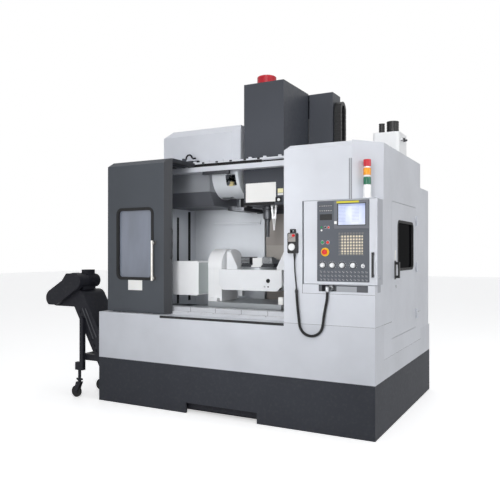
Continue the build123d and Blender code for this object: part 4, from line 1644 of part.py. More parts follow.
def all_pieces():
    """Every piece by its name, in the drawing frame."""
    makers = (
        base_skirt, machine_bed, column_casting, column_cover, splash_apron, door_sill, inner_guard,
        right_cabinet, front_crossbeam, magazine_hood, drum_cover, signal_tower, mist_unit,
        electrical_cabinet, electrical_door, conveyor_frame, conveyor_belt, conveyor_drive,
        left_door, left_door_window, left_door_handle, right_door, right_door_window, side_door,
        side_door_window, operator_panel, display_screen, emergency_stop, key_switch, pendant_body,
        pendant_wheel, pendant_cable, cable_sleeve, cable_connector, saddle, x_cover_left,
        x_cover_right, y_cover_front, z_cover, machine_table, rotary_base, cradle, faceplate,
        fixture_vise, head_casting, head_cover, spindle_tool, cable_chain, magazine_disc,
        tool_change_arm)
    pieces = {maker.__name__: maker() for maker in makers}
    for index, x in enumerate(KNOB_X, start=1):
        pieces[f"override_knob_{index}"] = override_knob(x)
    pieces["cycle_start_button"] = push_button(CYCLE_X)
    pieces["feed_hold_button"] = push_button(HOLD_X)
    for index, y in enumerate(LEG_Y, start=1):
        pieces[f"caster_fork_{index}"] = caster_fork(y)
        pieces[f"caster_wheel_{index}"] = caster_wheel(y)
    return pieces


def origin_shift(pieces):
    """The move that brings the middle of the underside to the origin, cords left out."""
    solid = [piece.bounding_box() for name, piece in pieces.items() if name not in CORD_NODES]
    x = (min(item.min.X for item in solid) + max(item.max.X for item in solid)) / 2
    y = (min(item.min.Y for item in solid) + max(item.max.Y for item in solid)) / 2
    z = min(item.min.Z for item in solid)
    return Vector(-x, -y, -z)


PIECES = all_pieces()
SHIFT = origin_shift(PIECES)
print("shift", SHIFT.X, SHIFT.Y, SHIFT.Z)
os.makedirs("parts", exist_ok=True)
for node, piece in PIECES.items():
    export_step(Pos(SHIFT.X, SHIFT.Y, SHIFT.Z) * piece, f"parts/{node}.step")
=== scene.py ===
import math

import bmesh
import bpy
from mathutils import Matrix, Vector


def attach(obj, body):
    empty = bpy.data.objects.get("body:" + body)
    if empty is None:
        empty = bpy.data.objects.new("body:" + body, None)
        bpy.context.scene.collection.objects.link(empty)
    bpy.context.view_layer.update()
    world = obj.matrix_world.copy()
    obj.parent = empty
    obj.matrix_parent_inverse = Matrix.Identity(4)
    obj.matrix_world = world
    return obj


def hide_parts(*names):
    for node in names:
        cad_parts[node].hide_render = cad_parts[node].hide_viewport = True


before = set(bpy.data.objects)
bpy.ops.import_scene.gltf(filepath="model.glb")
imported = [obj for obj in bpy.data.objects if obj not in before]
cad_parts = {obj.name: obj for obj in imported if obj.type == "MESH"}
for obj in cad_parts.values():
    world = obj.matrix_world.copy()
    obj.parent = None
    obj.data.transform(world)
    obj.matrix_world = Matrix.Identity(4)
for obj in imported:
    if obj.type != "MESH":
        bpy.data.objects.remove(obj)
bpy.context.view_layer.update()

# Points are in the drawing's millimetres: x and y from the base's right front corner, z up from
# the floor.
SHIFT = Vector((1.63875, -0.943, 0.0))


def at(x, y, z):
    """A point of the drawing, in the row frame in metres."""
    return Vector((x, y, z)) / 1000 + SHIFT


def srgb(r, g, b):
    """A colour from 0 to 255 as linear values."""
    out = []
    for value in (r, g, b):
        c = value / 255
        out.append(c / 12.92 if c <= 0.04045 else ((c + 0.055) / 1.055) ** 2.4)
    return (*out, 1.0)


def scaled(color, factor, lift=0.0):
    """A colour made lighter or darker."""
    return tuple(min(1.0, c * factor + lift) for c in color[:3]) + (1.0,)


# Materials


class Tree:
    """A material's node tree with short ways to add nodes."""

    def __init__(self, name):
        self.material = bpy.data.materials.new(name)
        self.material.use_nodes = True
        self.nodes = self.material.node_tree.nodes
        self.links = self.material.node_tree.links
        self.shader = self.nodes["Principled BSDF"]
        self.coords = self.nodes.new("ShaderNodeTexCoord").outputs["Object"]

    def put(self, socket, value):
        """Links an output to a socket, or sets the socket's value."""
        if isinstance(value, bpy.types.NodeSocket):
            self.links.new(value, socket)
        elif value is not None:
            socket.default_value = value

    def node(self, kind, ins=(), out=0, **settings):
        """Adds a node, fills its inputs and gives back one of its outputs."""
        made = self.nodes.new(kind)
        for key, value in settings.items():
            setattr(made, key, value)
        for key, value in (ins.items() if isinstance(ins, dict) else enumerate(ins)):
            self.put(made.inputs[key], value)
        return made.outputs[out]

    def math(self, operation, a, b=None, clamp=False):
        return self.node("ShaderNodeMath", (a, b), operation=operation, use_clamp=clamp)

    def blend(self, fac, a, b):
        return self.node("ShaderNodeMix", {0: fac, 6: a, 7: b}, 2, data_type="RGBA")

    def mix(self, fac, a, b):
        return self.node("ShaderNodeMix", {0: fac, 2: a, 3: b}, 0, data_type="FLOAT")

    def spread(self, value, low, high, to_low=0.0, to_high=1.0):
        return self.node("ShaderNodeMapRange",
                         {0: value, 1: low, 2: high, 3: to_low, 4: to_high})

    def relief(self, strength, height):
        """A bump of up to a millimetre."""
        return self.node("ShaderNodeBump", {"Strength": strength, "Distance": 0.001,
                                            "Height": height})

    def noise(self, scale, detail=3.0, stretch=None):
        place = self.coords
        if stretch:
            place = self.node("ShaderNodeVectorMath", (place, stretch), operation="MULTIPLY")
        return self.node("ShaderNodeTexNoise", {"Vector": place, "Scale": scale,
                                                "Detail": detail, "Roughness": 0.5})

    def inside(self, x0, x1, y0, y1, z0, z1):
        """1 inside a block of the drawing and 0 outside it."""
        low, high = at(x0, y0, z0), at(x1, y1, z1)
        centre, half = (low + high) / 2, (high - low) / 2
        away = self.node("ShaderNodeVectorMath", (self.coords, tuple(centre)), operation="SUBTRACT")
        away = self.node("ShaderNodeVectorMath", (away,), operation="ABSOLUTE")
        away = self.node("ShaderNodeVectorMath", (away, tuple(half)), operation="SUBTRACT")
        parts = self.nodes.new("ShaderNodeSeparateXYZ")
        self.put(parts.inputs[0], away)
        most = self.math("MAXIMUM", self.math("MAXIMUM", parts.outputs[0], parts.outputs[1]),
                         parts.outputs[2])
        return self.math("LESS_THAN", most, 0.0)

    def edges(self, radius, low=0.03, high=0.35):
        """1 along sharp edges."""
        soft = self.nodes.new("ShaderNodeBevel")
        soft.samples = 4
        soft.inputs["Radius"].default_value = radius
        plain = self.nodes.new("ShaderNodeNewGeometry").outputs["Normal"]
        same = self.nodes.new("ShaderNodeVectorMath")
        same.operation = "DOT_PRODUCT"
        self.put(same.inputs[0], soft.outputs[0])
        self.put(same.inputs[1], plain)
        return self.spread(self.math("SUBTRACT", 1.0, same.outputs["Value"]), low, high)


WEAR_RADIUS = 0.0012
DUST_COLOR, LINE_COLOR = srgb(150, 148, 142), srgb(38, 40, 45)


def finish(name, color, rough=0.45, metal=0.0, mottle=0.06, grain=700.0, bump=0.04, wear=0.35,
           wear_color=None, brush=None, coat=0.0, zones=(), glow=0.0, dust=0.0, gloss=0.35,
           lines=()):
    """A painted, cast, turned or moulded surface with variation, grain, wear, zones and seams."""
    t = Tree(name)
    broad = t.noise(2.3, 4.0)
    fine = t.noise(grain, 2.0, brush)
    middle = t.noise(38.0, 5.0)
    base = t.blend(t.spread(broad, 0.3, 0.7), scaled(color, 1 - mottle), scaled(color, 1 + mottle))
    roughness = t.spread(middle, 0.25, 0.75, max(0.02, rough - 0.06), rough + 0.08)
    metallic = metal
    for box, zone_color, zone_rough, zone_metal in zones:
        mask = t.inside(*box)
        varied = t.blend(t.spread(broad, 0.3, 0.7), scaled(zone_color, 0.93), zone_color)
        base = t.blend(mask, base, varied)
        roughness = t.mix(mask, roughness, zone_rough)
        metallic = t.mix(mask, metallic, zone_metal)
    if brush:
        base = t.blend(t.spread(fine, 0.35, 0.65, 0.0, 0.25), base, scaled(color, 0.6))
    if dust > 0:
        base = t.blend(t.math("MULTIPLY", t.spread(middle, 0.5, 0.8), dust), base, DUST_COLOR)
    broken = t.math("MULTIPLY", t.edges(WEAR_RADIUS), t.spread(t.noise(140.0, 4.0), 0.42, 0.6))
    broken = t.math("MULTIPLY", broken, wear, clamp=True)
    base = t.blend(broken, base, wear_color or scaled(color, 1.35, 0.03))
    roughness = t.mix(broken, roughness, 0.5)
    for box in lines:
        mask = t.inside(*box)
        base = t.blend(mask, base, LINE_COLOR)
        roughness = t.mix(mask, roughness, 0.8)
    s = t.shader
    t.put(s.inputs["Base Color"], base)
    t.put(s.inputs["Roughness"], roughness)
    t.put(s.inputs["Metallic"], metallic)
    s.inputs["Specular IOR Level"].default_value = gloss
    s.inputs["Coat Weight"].default_value = coat
    s.inputs["Coat Roughness"].default_value = 0.15
    if glow > 0:
        t.put(s.inputs["Emission Color"], base)
        s.inputs["Emission Strength"].default_value = glow
    t.put(s.inputs["Normal"], t.relief(bump, fine))
    return t.material


LIGHT = srgb(205, 208, 215)
# The apron has the cabinet's light paint, written a little darker as painted shade low down.
SHADED_APRON_LIGHT = srgb(199, 202, 209)
CHARCOAL = srgb(60, 62, 68)
NEAR_BLACK = srgb(24, 24, 26)
WHITE = srgb(232, 233, 235)
WORN_WHITE = srgb(150, 150, 150)
PALE = srgb(238, 238, 236)
STEEL = srgb(176, 178, 181)
GROOVE = srgb(150, 152, 158)
PANEL_FACE = srgb(84, 88, 96)
FINE_IN_X, FINE_IN_Z = (14, 1, 1), (1, 1, 14)


def zone(box, color, rough=0.5, metal=0.0):
    """A block of the drawing (x0, x1, y0, y1, z0, z1) in which a finish has another colour."""
    return box, color, rough, metal


def enamel(name, color=LIGHT, **more):
    """The light enamel of the sheet metal."""
    return finish(name, color, 0.42, coat=0.05, wear=0.25, bump=0.03, **more)


def dark_enamel(name, color, **more):
    """The dark enamel of the doors and the head."""
    return finish(name, color, 0.45, gloss=0.3, wear=0.3, bump=0.03, **more)


def white_enamel(name, color=WHITE, coat=0.2, **more):
    """The white enamel of the rotary unit and the mist unit."""
    return finish(name, color, 0.38, coat=coat, wear=0.2, bump=0.03, **more)


def assign(material, *nodes):
    """Gives CAD nodes their material."""
    for node in nodes:
        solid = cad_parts[node]
        solid.data.materials.clear()
        solid.data.materials.append(material)


# Paints and metals that several pieces share

light = enamel("light_paint")
base_paint = finish("charcoal_paint", CHARCOAL, 0.55, gloss=0.08, wear=0.4, bump=0.04, dust=0.05)
black_paint = finish("black_paint", srgb(30, 31, 38), 0.5, gloss=0.2, wear=0.5, bump=0.05,
                     dust=0.05)
white_paint = white_enamel("white_paint", coat=0.3, wear_color=WORN_WHITE)
casting = finish("casting", srgb(140, 143, 147), 0.62, metal=0.1, grain=260.0, bump=0.25, wear=0.5)
steel = finish("machined_steel", STEEL, 0.3, metal=0.9, mottle=0.08, brush=(1, 1, 12),
               grain=320.0, bump=0.05, wear=0.3)
ground = finish("ground_steel", srgb(170, 172, 176), 0.24, metal=1.0, brush=FINE_IN_X, grain=260.0,
                bump=0.04, wear=0.4)
arm_steel = finish("arm_steel", srgb(74, 76, 80), 0.42, metal=0.5, grain=300.0, bump=0.05,
                   wear=0.5)
stainless = finish("stainless", srgb(205, 206, 208), 0.2, metal=1.0, brush=(1, 1, 20),
                   grain=420.0, bump=0.04, wear=0.2)
black_plastic = finish("black_plastic", srgb(30, 30, 32), 0.45, grain=1500.0, bump=0.08, wear=0.3)
rubber = finish("black_rubber", srgb(26, 26, 27), 0.7, grain=1100.0, bump=0.12, wear=0.2)
red_plastic = finish("red_plastic", srgb(214, 38, 32), 0.22, coat=0.6, wear=0.2, bump=0.02)
green_plastic = finish("green_plastic", srgb(30, 140, 84), 0.25, coat=0.5, wear=0.2, bump=0.02)
label = finish("blank_label", PALE, 0.5, wear=0.1, bump=0.02, mottle=0.03)

assign(light, "magazine_hood", "electrical_door")
assign(base_paint, "base_skirt")
assign(black_paint, "conveyor_frame", "conveyor_drive", "caster_fork_1", "caster_fork_2",
       "y_cover_front", "x_cover_left", "x_cover_right")
assign(casting, "machine_bed", "column_casting", "head_casting")
assign(steel, "cable_connector")
assign(ground, "magazine_disc", "conveyor_belt")
assign(arm_steel, "tool_change_arm", "spindle_tool")
assign(stainless, "key_switch")
assign(red_plastic, "emergency_stop", "feed_hold_button")
assign(green_plastic, "cycle_start_button")
assign(black_plastic, "cable_chain")
assign(rubber, "caster_wheel_1", "caster_wheel_2")

# Enclosure: the beam's slot painted near-black as painted shade, the black field of the apron, and
# the cabinet's seams, grooves, plug tray and painted shade in its recesses

assign(enamel("beam_paint", zones=[
    # The slot inside the beam is painted near-black, thinning to the right: painted shade in the
    # recess.
    zone((-1995, -1190, 475.5, 500, 2211, 2241), NEAR_BLACK),
    zone((-1190, -165, 475.5, 500, 2220, 2234), NEAR_BLACK)]), "front_crossbeam")
assign(enamel("apron_paint", SHADED_APRON_LIGHT, zones=[
    zone((-1963, -742, -2, 4, 813, 835), NEAR_BLACK)],
    lines=[(-2.6, 0.5, 242, 1530, 565.6, 567.4)]), "splash_apron")
assign(enamel("cabinet_paint", zones=[
    zone((-582, 2, -2, 150, 1150, 1802), srgb(168, 172, 180)),  # wall behind the panel, painted shade of the recess
    zone((-2, 2, 66, 147, 1095, 1158), srgb(172, 175, 182)),  # strip on the side, painted shade of the recess
    zone((-444, -300, -1, 75, 1097, 1150), srgb(86, 88, 93)),  # pocket of the plug tray, painted shade
    zone((-300, -140, -1, 1, 1097, 1150), srgb(158, 161, 167)),  # its paler middle: painted shade, lighter where more light falls
    zone((-140, -54, -1, 1, 1097, 1150), srgb(84, 86, 92)),  # its darker end: painted shade
    zone((-444, -54, -1, 1, 1140, 1153), srgb(66, 68, 74)),  # shade below its rim
    zone((-201, -191, -1, 8, 1800, 2110), GROOVE),
    zone((-187, -177, -1, 8, 1800, 2110), GROOVE)],
    lines=[(-742, -2, -1, 1.0, 836.6, 839.8), (-2, 1, 0, 1524, 837.0, 839.4),
           (-582, -579, -1, 1.0, 1079, 1153), (-582, -2, -1, 1.0, 1079, 1081)]), "right_cabinet")
SILL_SEAMS = (-1731, -1471, -1211, -959)
assign(finish("sill_paint", srgb(198, 200, 205), 0.3, coat=0.2, wear=0.2, bump=0.02,
              lines=[(x - 1.6, x + 1.6, 100, 262, 862, 906) for x in SILL_SEAMS]), "door_sill")
assign(finish("inner_lining", srgb(210, 214, 220), 0.4, coat=0.2, wear=0.2, bump=0.03, zones=[
    zone((-1494, -1042, 1190, 1212, 760, 1102), srgb(140, 134, 130), 0.5, 0.1)]), "inner_guard")

# Doors: the left one's edge is painted dark as painted shade, and its handle has dark brackets

HANDLE_X, HANDLE_BRACKETS_Z = -2065.0, (1164, 1483)
assign(dark_enamel("dark_door_paint", srgb(71, 75, 81), zones=[
    # The left door's edge facing right is painted darker: painted shade on that face.
    zone((-1963, -1896.5, 60.6, 470.5, 846, 2246), srgb(40, 42, 47))]), "left_door", "right_door")
assign(finish("satin_steel", srgb(214, 212, 206), 0.36, metal=0.45, brush=FINE_IN_Z, grain=380.0,
              bump=0.04, wear=0.2, zones=[
                  zone((HANDLE_X - 22, HANDLE_X + 22, 36, 61, z - 23, z + 23), srgb(48, 50, 54),
                       0.45, 0.2) for z in HANDLE_BRACKETS_Z]), "left_door_handle")
assign(enamel("side_door_paint", zones=[
    zone((-0.2, 42, 555, 588, 1175, 1330), NEAR_BLACK, 0.4),  # handle
    zone((0.2, 8, 586, 614, 1105, 1133), STEEL, 0.3, 0.9)]), "side_door")  # lock

# Rear cabinet: its mounting plate, and the rows of devices with a pale field on each

DEVICE_COLUMNS = (-615, -480, -345, -210)
DEVICE_ROWS = ((786, 1048), (1146, 1268), (1506, 1668))
assign(enamel("electrical_paint", zones=[
    zone((-661, -59, 1543.5, 1551, 746, 1941), srgb(172, 174, 176), 0.35, 0.5),
    *[zone((-631, -114, 1550.5, 1696, low, high), srgb(60, 62, 67)) for low, high in DEVICE_ROWS],
    *[zone((x, x + 80, 1693, 1696, high - 56, high - 22), srgb(206, 208, 210), 0.4)
      for x in DEVICE_COLUMNS for _, high in DEVICE_ROWS]]), "electrical_cabinet")

# Head and tool changer

assign(dark_enamel("dark_head_paint", srgb(67, 70, 77), zones=[
    zone((-1430, -1190, 740, 960, 2996, 3100), srgb(196, 38, 52), 0.35),  # motor cap
    zone((-1501, -1035, 1190, 1262, 1469, 1791), srgb(150, 145, 141), 0.38, 0.2),  # way cover
    zone((-1466, -1138, 653, 659.9, 1841, 1867), NEAR_BLACK),  # lip
    zone((-1128, -1068, 647.5, 659.9, 1861, 1909), NEAR_BLACK, 0.45),  # lamp box
    zone((-1110, -1076, 643, 647.8, 1868, 1900), srgb(240, 241, 242), 0.12)]),  # lamp's lens
    "head_cover", "column_cover")
assign(enamel("drum_paint", srgb(214, 218, 223), zones=[
    zone((-2360, -1790, 560, 1110, 1985, 2212), srgb(138, 141, 146), 0.45),  # guard, the drum's paint with painted shade
    zone((-2360, -1790, 560, 1110, 1830, 1985), srgb(92, 94, 100), 0.45),  # its lower slope, darker painted shade on the face turned down
    zone((-1640, -1470, 780, 920, 1830, 1926), NEAR_BLACK)]), "drum_cover")  # painted shade of the opening below the window
assign(finish("way_cover", srgb(166, 161, 156), 0.36, metal=0.3, brush=(12, 1, 1), grain=300.0),
       "z_cover")

# Table, rotary unit, vise and mist unit

assign(finish("saddle_steel", srgb(120, 122, 126), 0.4, metal=0.5, mottle=0.1, bump=0.05, wear=0.5,
              zones=[zone((-1902, -618, 330, 780, 700, 800), srgb(60, 62, 66))]), "saddle")
assign(finish("table_steel", srgb(158, 162, 166), 0.36, metal=0.55, brush=FINE_IN_X, grain=260.0,
              bump=0.05, wear=0.4), "machine_table")
assign(finish("faceplate_steel", srgb(146, 149, 153), 0.42, metal=0.6, brush=FINE_IN_X, grain=260.0,
              bump=0.05, wear=0.4), "faceplate")
assign(finish("vise_steel", srgb(60, 62, 66), 0.4, metal=0.5, grain=420.0, bump=0.12, wear=0.5,
              wear_color=STEEL, zones=[
                  zone((-1290, -1190, 470, 650, 1236, 1360), srgb(232, 233, 234), 0.35, 0.1),
                  zone((-1176, -1080, 470, 650, 1297, 1360), srgb(142, 145, 149), 0.32, 0.8)]),
       "fixture_vise")
assign(white_enamel("rotary_paint", wear_color=WORN_WHITE, zones=[
    # A side face of the base is tinted darker grey-green: painted shade on that side.
    zone((-1711, -1707, 249, 571, 1000, 1320), srgb(170, 177, 177), 0.42)]), "rotary_base")
assign(white_enamel("cradle_paint", srgb(222, 224, 227), wear_color=WORN_WHITE, zones=[
    # A near-black patch on the cradle's front is painted shade of a bore's opening.
    zone((-1080, -930, 330.6, 380, 1070, 1170), NEAR_BLACK)]), "cradle")
assign(white_enamel("mist_paint", srgb(244, 245, 246), zones=[
    zone((-280, -90, 1020, 1170, 2474, 2600), NEAR_BLACK, 0.45),
    zone((-59, -24, 1020, 1140, 2398, 2428), srgb(60, 61, 64), 0.4)]), "mist_unit")

# Pendant, knobs and signal tower

assign(finish("pendant_plastic", srgb(30, 30, 32), 0.45, grain=1200.0, bump=0.1, wear=0.3, zones=[
    zone((-682, -620, -62, -45.5, 1482, 1546), srgb(150, 146, 143), 0.4, 0.2),
    zone((-650, -618, -62, -46.5, 1514, 1547), srgb(214, 38, 44), 0.25)]), "pendant_body")
assign(finish("dial_plastic", srgb(226, 227, 229), 0.35, coat=0.3, wear=0.2), "pendant_wheel")
assign(finish("knob_plastic", WHITE, 0.4, wear=0.3, bump=0.05),
       "override_knob_1", "override_knob_2", "override_knob_3", "override_knob_4")
TOWER_COLORS = ((1908, 1966, srgb(4, 104, 74), 0.18), (1966.2, 1979.8, PALE, 0.4),
                (1980, 2034, srgb(244, 158, 20), 0.18), (2044, 2099, srgb(200, 18, 40), 0.18))
# The faint glow of the tower is painted light: its lamps are not lit.
assign(finish("tower_plastic", srgb(240, 240, 240), 0.3, coat=0.5, wear=0.1, bump=0.02, glow=0.06,
              zones=[zone((-110, -40, 20, 90, low, high), color, rough)
                     for low, high, color, rough in TOWER_COLORS]), "signal_tower")

# Operator panel: the case is light with painted shade on its right side, its face dark, its keys
# pale

assign(enamel("panel_case", zones=[
    zone((18, 28, -5, 142, 1155, 1799), srgb(176, 179, 186)),  # right side, painted shade
    zone((-455.4, -40.6, -3.4, 20, 1174.6, 1793.4), PANEL_FACE),
    zone((-455.4, -40.6, -8, -3.2, 1178, 1262), srgb(98, 101, 108), 0.45),  # membrane keys
    zone((-317, -45, -11, -1.6, 1578, 1791), srgb(104, 107, 114), 0.45),  # screen's frame
    zone((-290, -65, -11, -1.6, 1600, 1770), srgb(44, 46, 52), 0.4),  # its inner edge
    zone((-296, -120, -11, -9.7, 1772, 1786), srgb(206, 196, 50)),  # yellow strip
    zone((-424, -356, -8, -2.2, 1368, 1436), srgb(244, 190, 24), 0.35),  # stop button's ring
    zone((-290, -74, -5.4, -2.6, 1366, 1558), srgb(112, 112, 112), 0.45),  # keyboard
    zone((-268, -92, -5.4, -2.6, 1385, 1528), srgb(218, 208, 186), 0.45),  # its pale keys
    zone((-22, -2, -31, -6.4, 1211, 1400), NEAR_BLACK, 0.45)]), "operator_panel")  # grip


def glass(name, color, rough, coat=0.5, specular=0.5):
    """A tinted pane: coat and a faint smear of coolant."""
    t = Tree(name)
    smear = t.noise(5.0, 6.0, (1, 1, 0.35))
    film = t.noise(60.0, 4.0)
    pale = tuple(min(1.0, c * 1.25) for c in color[:3]) + (1.0,)
    s = t.shader
    t.put(s.inputs["Base Color"], t.blend(t.spread(smear, 0.35, 0.7), color, pale))
    t.put(s.inputs["Roughness"], t.spread(film, 0.3, 0.8, rough, rough + 0.12))
    s.inputs["Coat Weight"].default_value = coat
    s.inputs["Coat Roughness"].default_value = 0.04
    s.inputs["Specular IOR Level"].default_value = specular
    t.put(s.inputs["Normal"], t.relief(0.02, film))
    return t.material


assign(glass("door_pane", srgb(114, 120, 133), 0.16), "left_door_window", "right_door_window")
assign(glass("side_pane", srgb(11, 12, 14), 0.25, 0.04, 0.0), "side_door_window")


SCREEN_ROWS = 15.0


def screen_material():
    """A lit screen: a pale blue ground with plain bars in rows."""
    t = Tree("lit_screen")
    parts = t.nodes.new("ShaderNodeSeparateXYZ")
    t.put(parts.inputs[0], t.coords)
    low, high = at(-283, 0, 1606), at(-72, 0, 1764)
    u = t.spread(parts.outputs[0], low.x, high.x)
    v = t.spread(parts.outputs[2], low.z, high.z)
    row = t.math("MULTIPLY", v, SCREEN_ROWS)
    rows = t.math("FRACT", row)
    bar = t.math("MULTIPLY", t.math("GREATER_THAN", rows, 0.45), t.math("LESS_THAN", rows, 0.78))
    cells = t.node("ShaderNodeTexWhiteNoise", (t.math("FLOOR", row),), noise_dimensions="1D")
    length = t.math("LESS_THAN", t.math("FRACT", t.math("MULTIPLY", u, 2.0)),
                    t.spread(cells, 0, 1, 0.2, 0.8))
    inside = t.math("MULTIPLY", t.math("GREATER_THAN", v, 0.14), t.math("LESS_THAN", v, 0.86))
    ink = t.math("MULTIPLY", t.math("MULTIPLY", bar, length), t.math("MULTIPLY", inside, 0.4))
    sheen = t.spread(t.noise(9.0, 2.0, (1, 1, 0.6)), 0.3, 0.7)
    ground_color = t.blend(sheen, srgb(176, 188, 226), srgb(224, 230, 246))
    base = t.blend(ink, ground_color, srgb(96, 110, 160))
    top = t.math("GREATER_THAN", v, 0.9)
    base = t.blend(t.math("MULTIPLY", top, 0.5), base, srgb(120, 136, 190))
    s = t.shader
    t.put(s.inputs["Base Color"], base)
    t.put(s.inputs["Emission Color"], base)
    s.inputs["Emission Strength"].default_value = 0.12
    s.inputs["Coat Weight"].default_value = 0.7
    t.put(s.inputs["Roughness"], t.spread(t.noise(80.0), 0.3, 0.7, 0.12, 0.22))
    t.put(s.inputs["Normal"], t.relief(0.02, t.noise(300.0)))
    return t.material


assign(screen_material(), "display_screen")


# Mesh helpers


def block(bm, x0, x1, y0, y1, z0, z1):
    """A block of the drawing."""
    low, high = at(x0, y0, z0), at(x1, y1, z1)
    for v in bmesh.ops.create_cube(bm, size=1.0)["verts"]:
        v.co = Vector([(low[i] + high[i]) / 2 + v.co[i] * (high[i] - low[i]) for i in range(3)])


AXES = {"x": Matrix.Rotation(math.pi / 2, 3, "Y"), "y": Matrix.Rotation(-math.pi / 2, 3, "X"),
        "z": Matrix.Identity(3)}


def lathe(bm, profile, axis, centre, segments=32):
    """A turned solid from (radius, distance along the axis) pairs in millimetres."""
    turn = AXES[axis]
    rings = []
    for radius, along in profile:
        if radius < 1e-6:
            rings.append([bm.verts.new(at(*centre) + turn @ Vector((0, 0, along / 1000)))])
            continue
        ring = []
        for i in range(segments):
            a = 2 * math.pi * i / segments
            local = Vector((radius * math.cos(a), radius * math.sin(a), along)) / 1000
            ring.append(bm.verts.new(at(*centre) + turn @ local))
        rings.append(ring)
    for first, second in zip(rings, rings[1:]):
        for i in range(segments):
            j = (i + 1) % segments
            quad = [first[i % len(first)], first[j % len(first)], second[j % len(second)],
                    second[i % len(second)]]
            corners = [v for k, v in enumerate(quad) if v not in quad[:k]]
            if len(corners) > 2:
                bm.faces.new(corners)


def disc(bm, axis, centre, radius, low, high, edge=0.6, segments=24):
    """A round boss or screw head with softened rims."""
    lathe(bm, [(0, low), (radius, low), (radius, high - edge), (radius - edge, high), (0, high)],
          axis, centre, segments)


def ring_at(bm, place, turn, radius, along, count):
    """A ring of corners, in millimetres, about a place and across a turned axis."""
    spots = [Vector((radius * math.cos(q), radius * math.sin(q), along)) / 1000
             for q in [2 * math.pi * n / count for n in range(count)]]
    return [bm.verts.new(place + turn @ spot) for spot in spots]


def skin(bm, rows):
    """The faces between rings of as many corners."""
    count = len(rows[0])
    for low, high in zip(rows, rows[1:]):
        for n in range(count):
            bm.faces.new([low[n], low[(n + 1) % count], high[(n + 1) % count], high[n]])


def turned_along(bm, place, direction, profile, count=20):
    """Rings of (radius, distance) in millimetres from a place along a direction."""
    turn = direction.to_track_quat("Z", "Y").to_matrix()
    skin(bm, [ring_at(bm, place, turn, radius, along, count) for radius, along in profile])


def rod_along(bm, points, radius, count=12):
    """A bent round bar through points of the drawing."""
    rows = []
    for i, place in enumerate(points):
        before, after = Vector(points[max(i - 1, 0)]), Vector(points[min(i + 1, len(points) - 1)])
        turn = (after - before).to_track_quat("Z", "Y").to_matrix()
        rows.append(ring_at(bm, at(*place), turn, radius, 0.0, count))
    skin(bm, rows)
    bm.faces.new(rows[0][::-1])
    bm.faces.new(rows[-1])


def piece(name, bm, material, body, bevel=0.0):
    """A mesh piece that rides on a body, with softened edges."""
    bmesh.ops.recalc_face_normals(bm, faces=bm.faces)
    mesh = bpy.data.meshes.new(name)
    bm.to_mesh(mesh)
    bm.free()
    made = bpy.data.objects.new(name, mesh)
    bpy.context.scene.collection.objects.link(made)
    mesh.materials.append(material)
    for face in mesh.polygons:
        face.use_smooth = True
    mesh.set_sharp_from_angle(angle=math.radians(35))
    if bevel > 0:
        soft = made.modifiers.new("soft_edges", "BEVEL")
        soft.width = bevel / 1000
        soft.segments = 2
        soft.limit_method = "ANGLE"
        soft.angle_limit = math.radians(40)
    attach(made, body)
    return made


def rounded_path(u0, u1, v0, v1, corner, steps=6):
    """Points round a rounded rectangle."""
    points = []
    for cu, cv, start in ((u1 - corner, v1 - corner, 0), (u0 + corner, v1 - corner, 90),
                          (u0 + corner, v0 + corner, 180), (u1 - corner, v0 + corner, 270)):
        for i in range(steps + 1):
            a = math.radians(start + 90 * i / steps)
            points.append((cu + corner * math.cos(a), cv + corner * math.sin(a)))
    return points


def frame_ring(bm, place, outer, inner, low, high):
    """A flat ring between two outlines of as many points, from one depth to another."""
    loops = []
    for outline, depth in ((outer, low), (outer, high), (inner, high), (inner, low)):
        loops.append([bm.verts.new(place(u, v, depth)) for u, v in outline])
    count = len(outer)
    for a, b in zip(loops, loops[1:] + loops[:1]):
        for i in range(count):
            j = (i + 1) % count
            bm.faces.new([a[i], a[j], b[j], b[i]])


def front(u, v, depth):
    """A point on a face across y."""
    return at(u, depth, v)


def side(u, v, depth):
    """A point on a face across x."""
    return at(depth, u, v)


WINDOW_CORNER = 45


def gasket(name, place, window, width, low, high, body):
    """A rubber frame round a window (u0, u1, v0, v1), from one depth to another."""
    u0, u1, v0, v1 = window
    half = width / 2
    outer = rounded_path(u0 - half, u1 + half, v0 - half, v1 + half, WINDOW_CORNER + half)
    inner = rounded_path(u0 + half, u1 - half, v0 + half, v1 - half, WINDOW_CORNER - half)
    bm = bmesh.new()
    frame_ring(bm, place, outer, inner, low, high)
    return piece(name, bm, rubber, body, bevel=1.5)


# Cords

CABLE_X, CORD_Y, ELBOW_X, SLEEVE_TOP = -635.0, -30.0, -363, 1101
LOOP_X, LOOP_Z, LOOP_RADIUS = -497, 850, 101
CABLE_RADIUS, SLEEVE_RADIUS = 5.0, 11.0
RIB_PITCH, FIRST_RIB, PLAIN_END = 6.2, 26.0, 6


def on_loop(degrees):
    """A point of the sleeve's hanging loop."""
    a = math.radians(degrees)
    return LOOP_X + LOOP_RADIUS * math.cos(a), CORD_Y, LOOP_Z + LOOP_RADIUS * math.sin(a)


# The routes are the source's: from the pendant to the sleeve, and from there to the elbow.
CABLE_ROUTE = [(CABLE_X, CORD_Y, 1376), (CABLE_X, CORD_Y, 1300), (CABLE_X + 4, CORD_Y, 1230),
               (CABLE_X + 12, CORD_Y, 1165), (CABLE_X + 16, CORD_Y, SLEEVE_TOP)]
SLEEVE_ROUTE = [(CABLE_X + 16, CORD_Y, SLEEVE_TOP), (CABLE_X + 22, CORD_Y, 1005),
                (CABLE_X + 34, CORD_Y, 905), *[on_loop(-160 + 28 * i) for i in range(6)],
                (-393, CORD_Y, 897), (-377, CORD_Y, 985), (ELBOW_X, CORD_Y, 1048),
                (ELBOW_X, CORD_Y, 1096)]


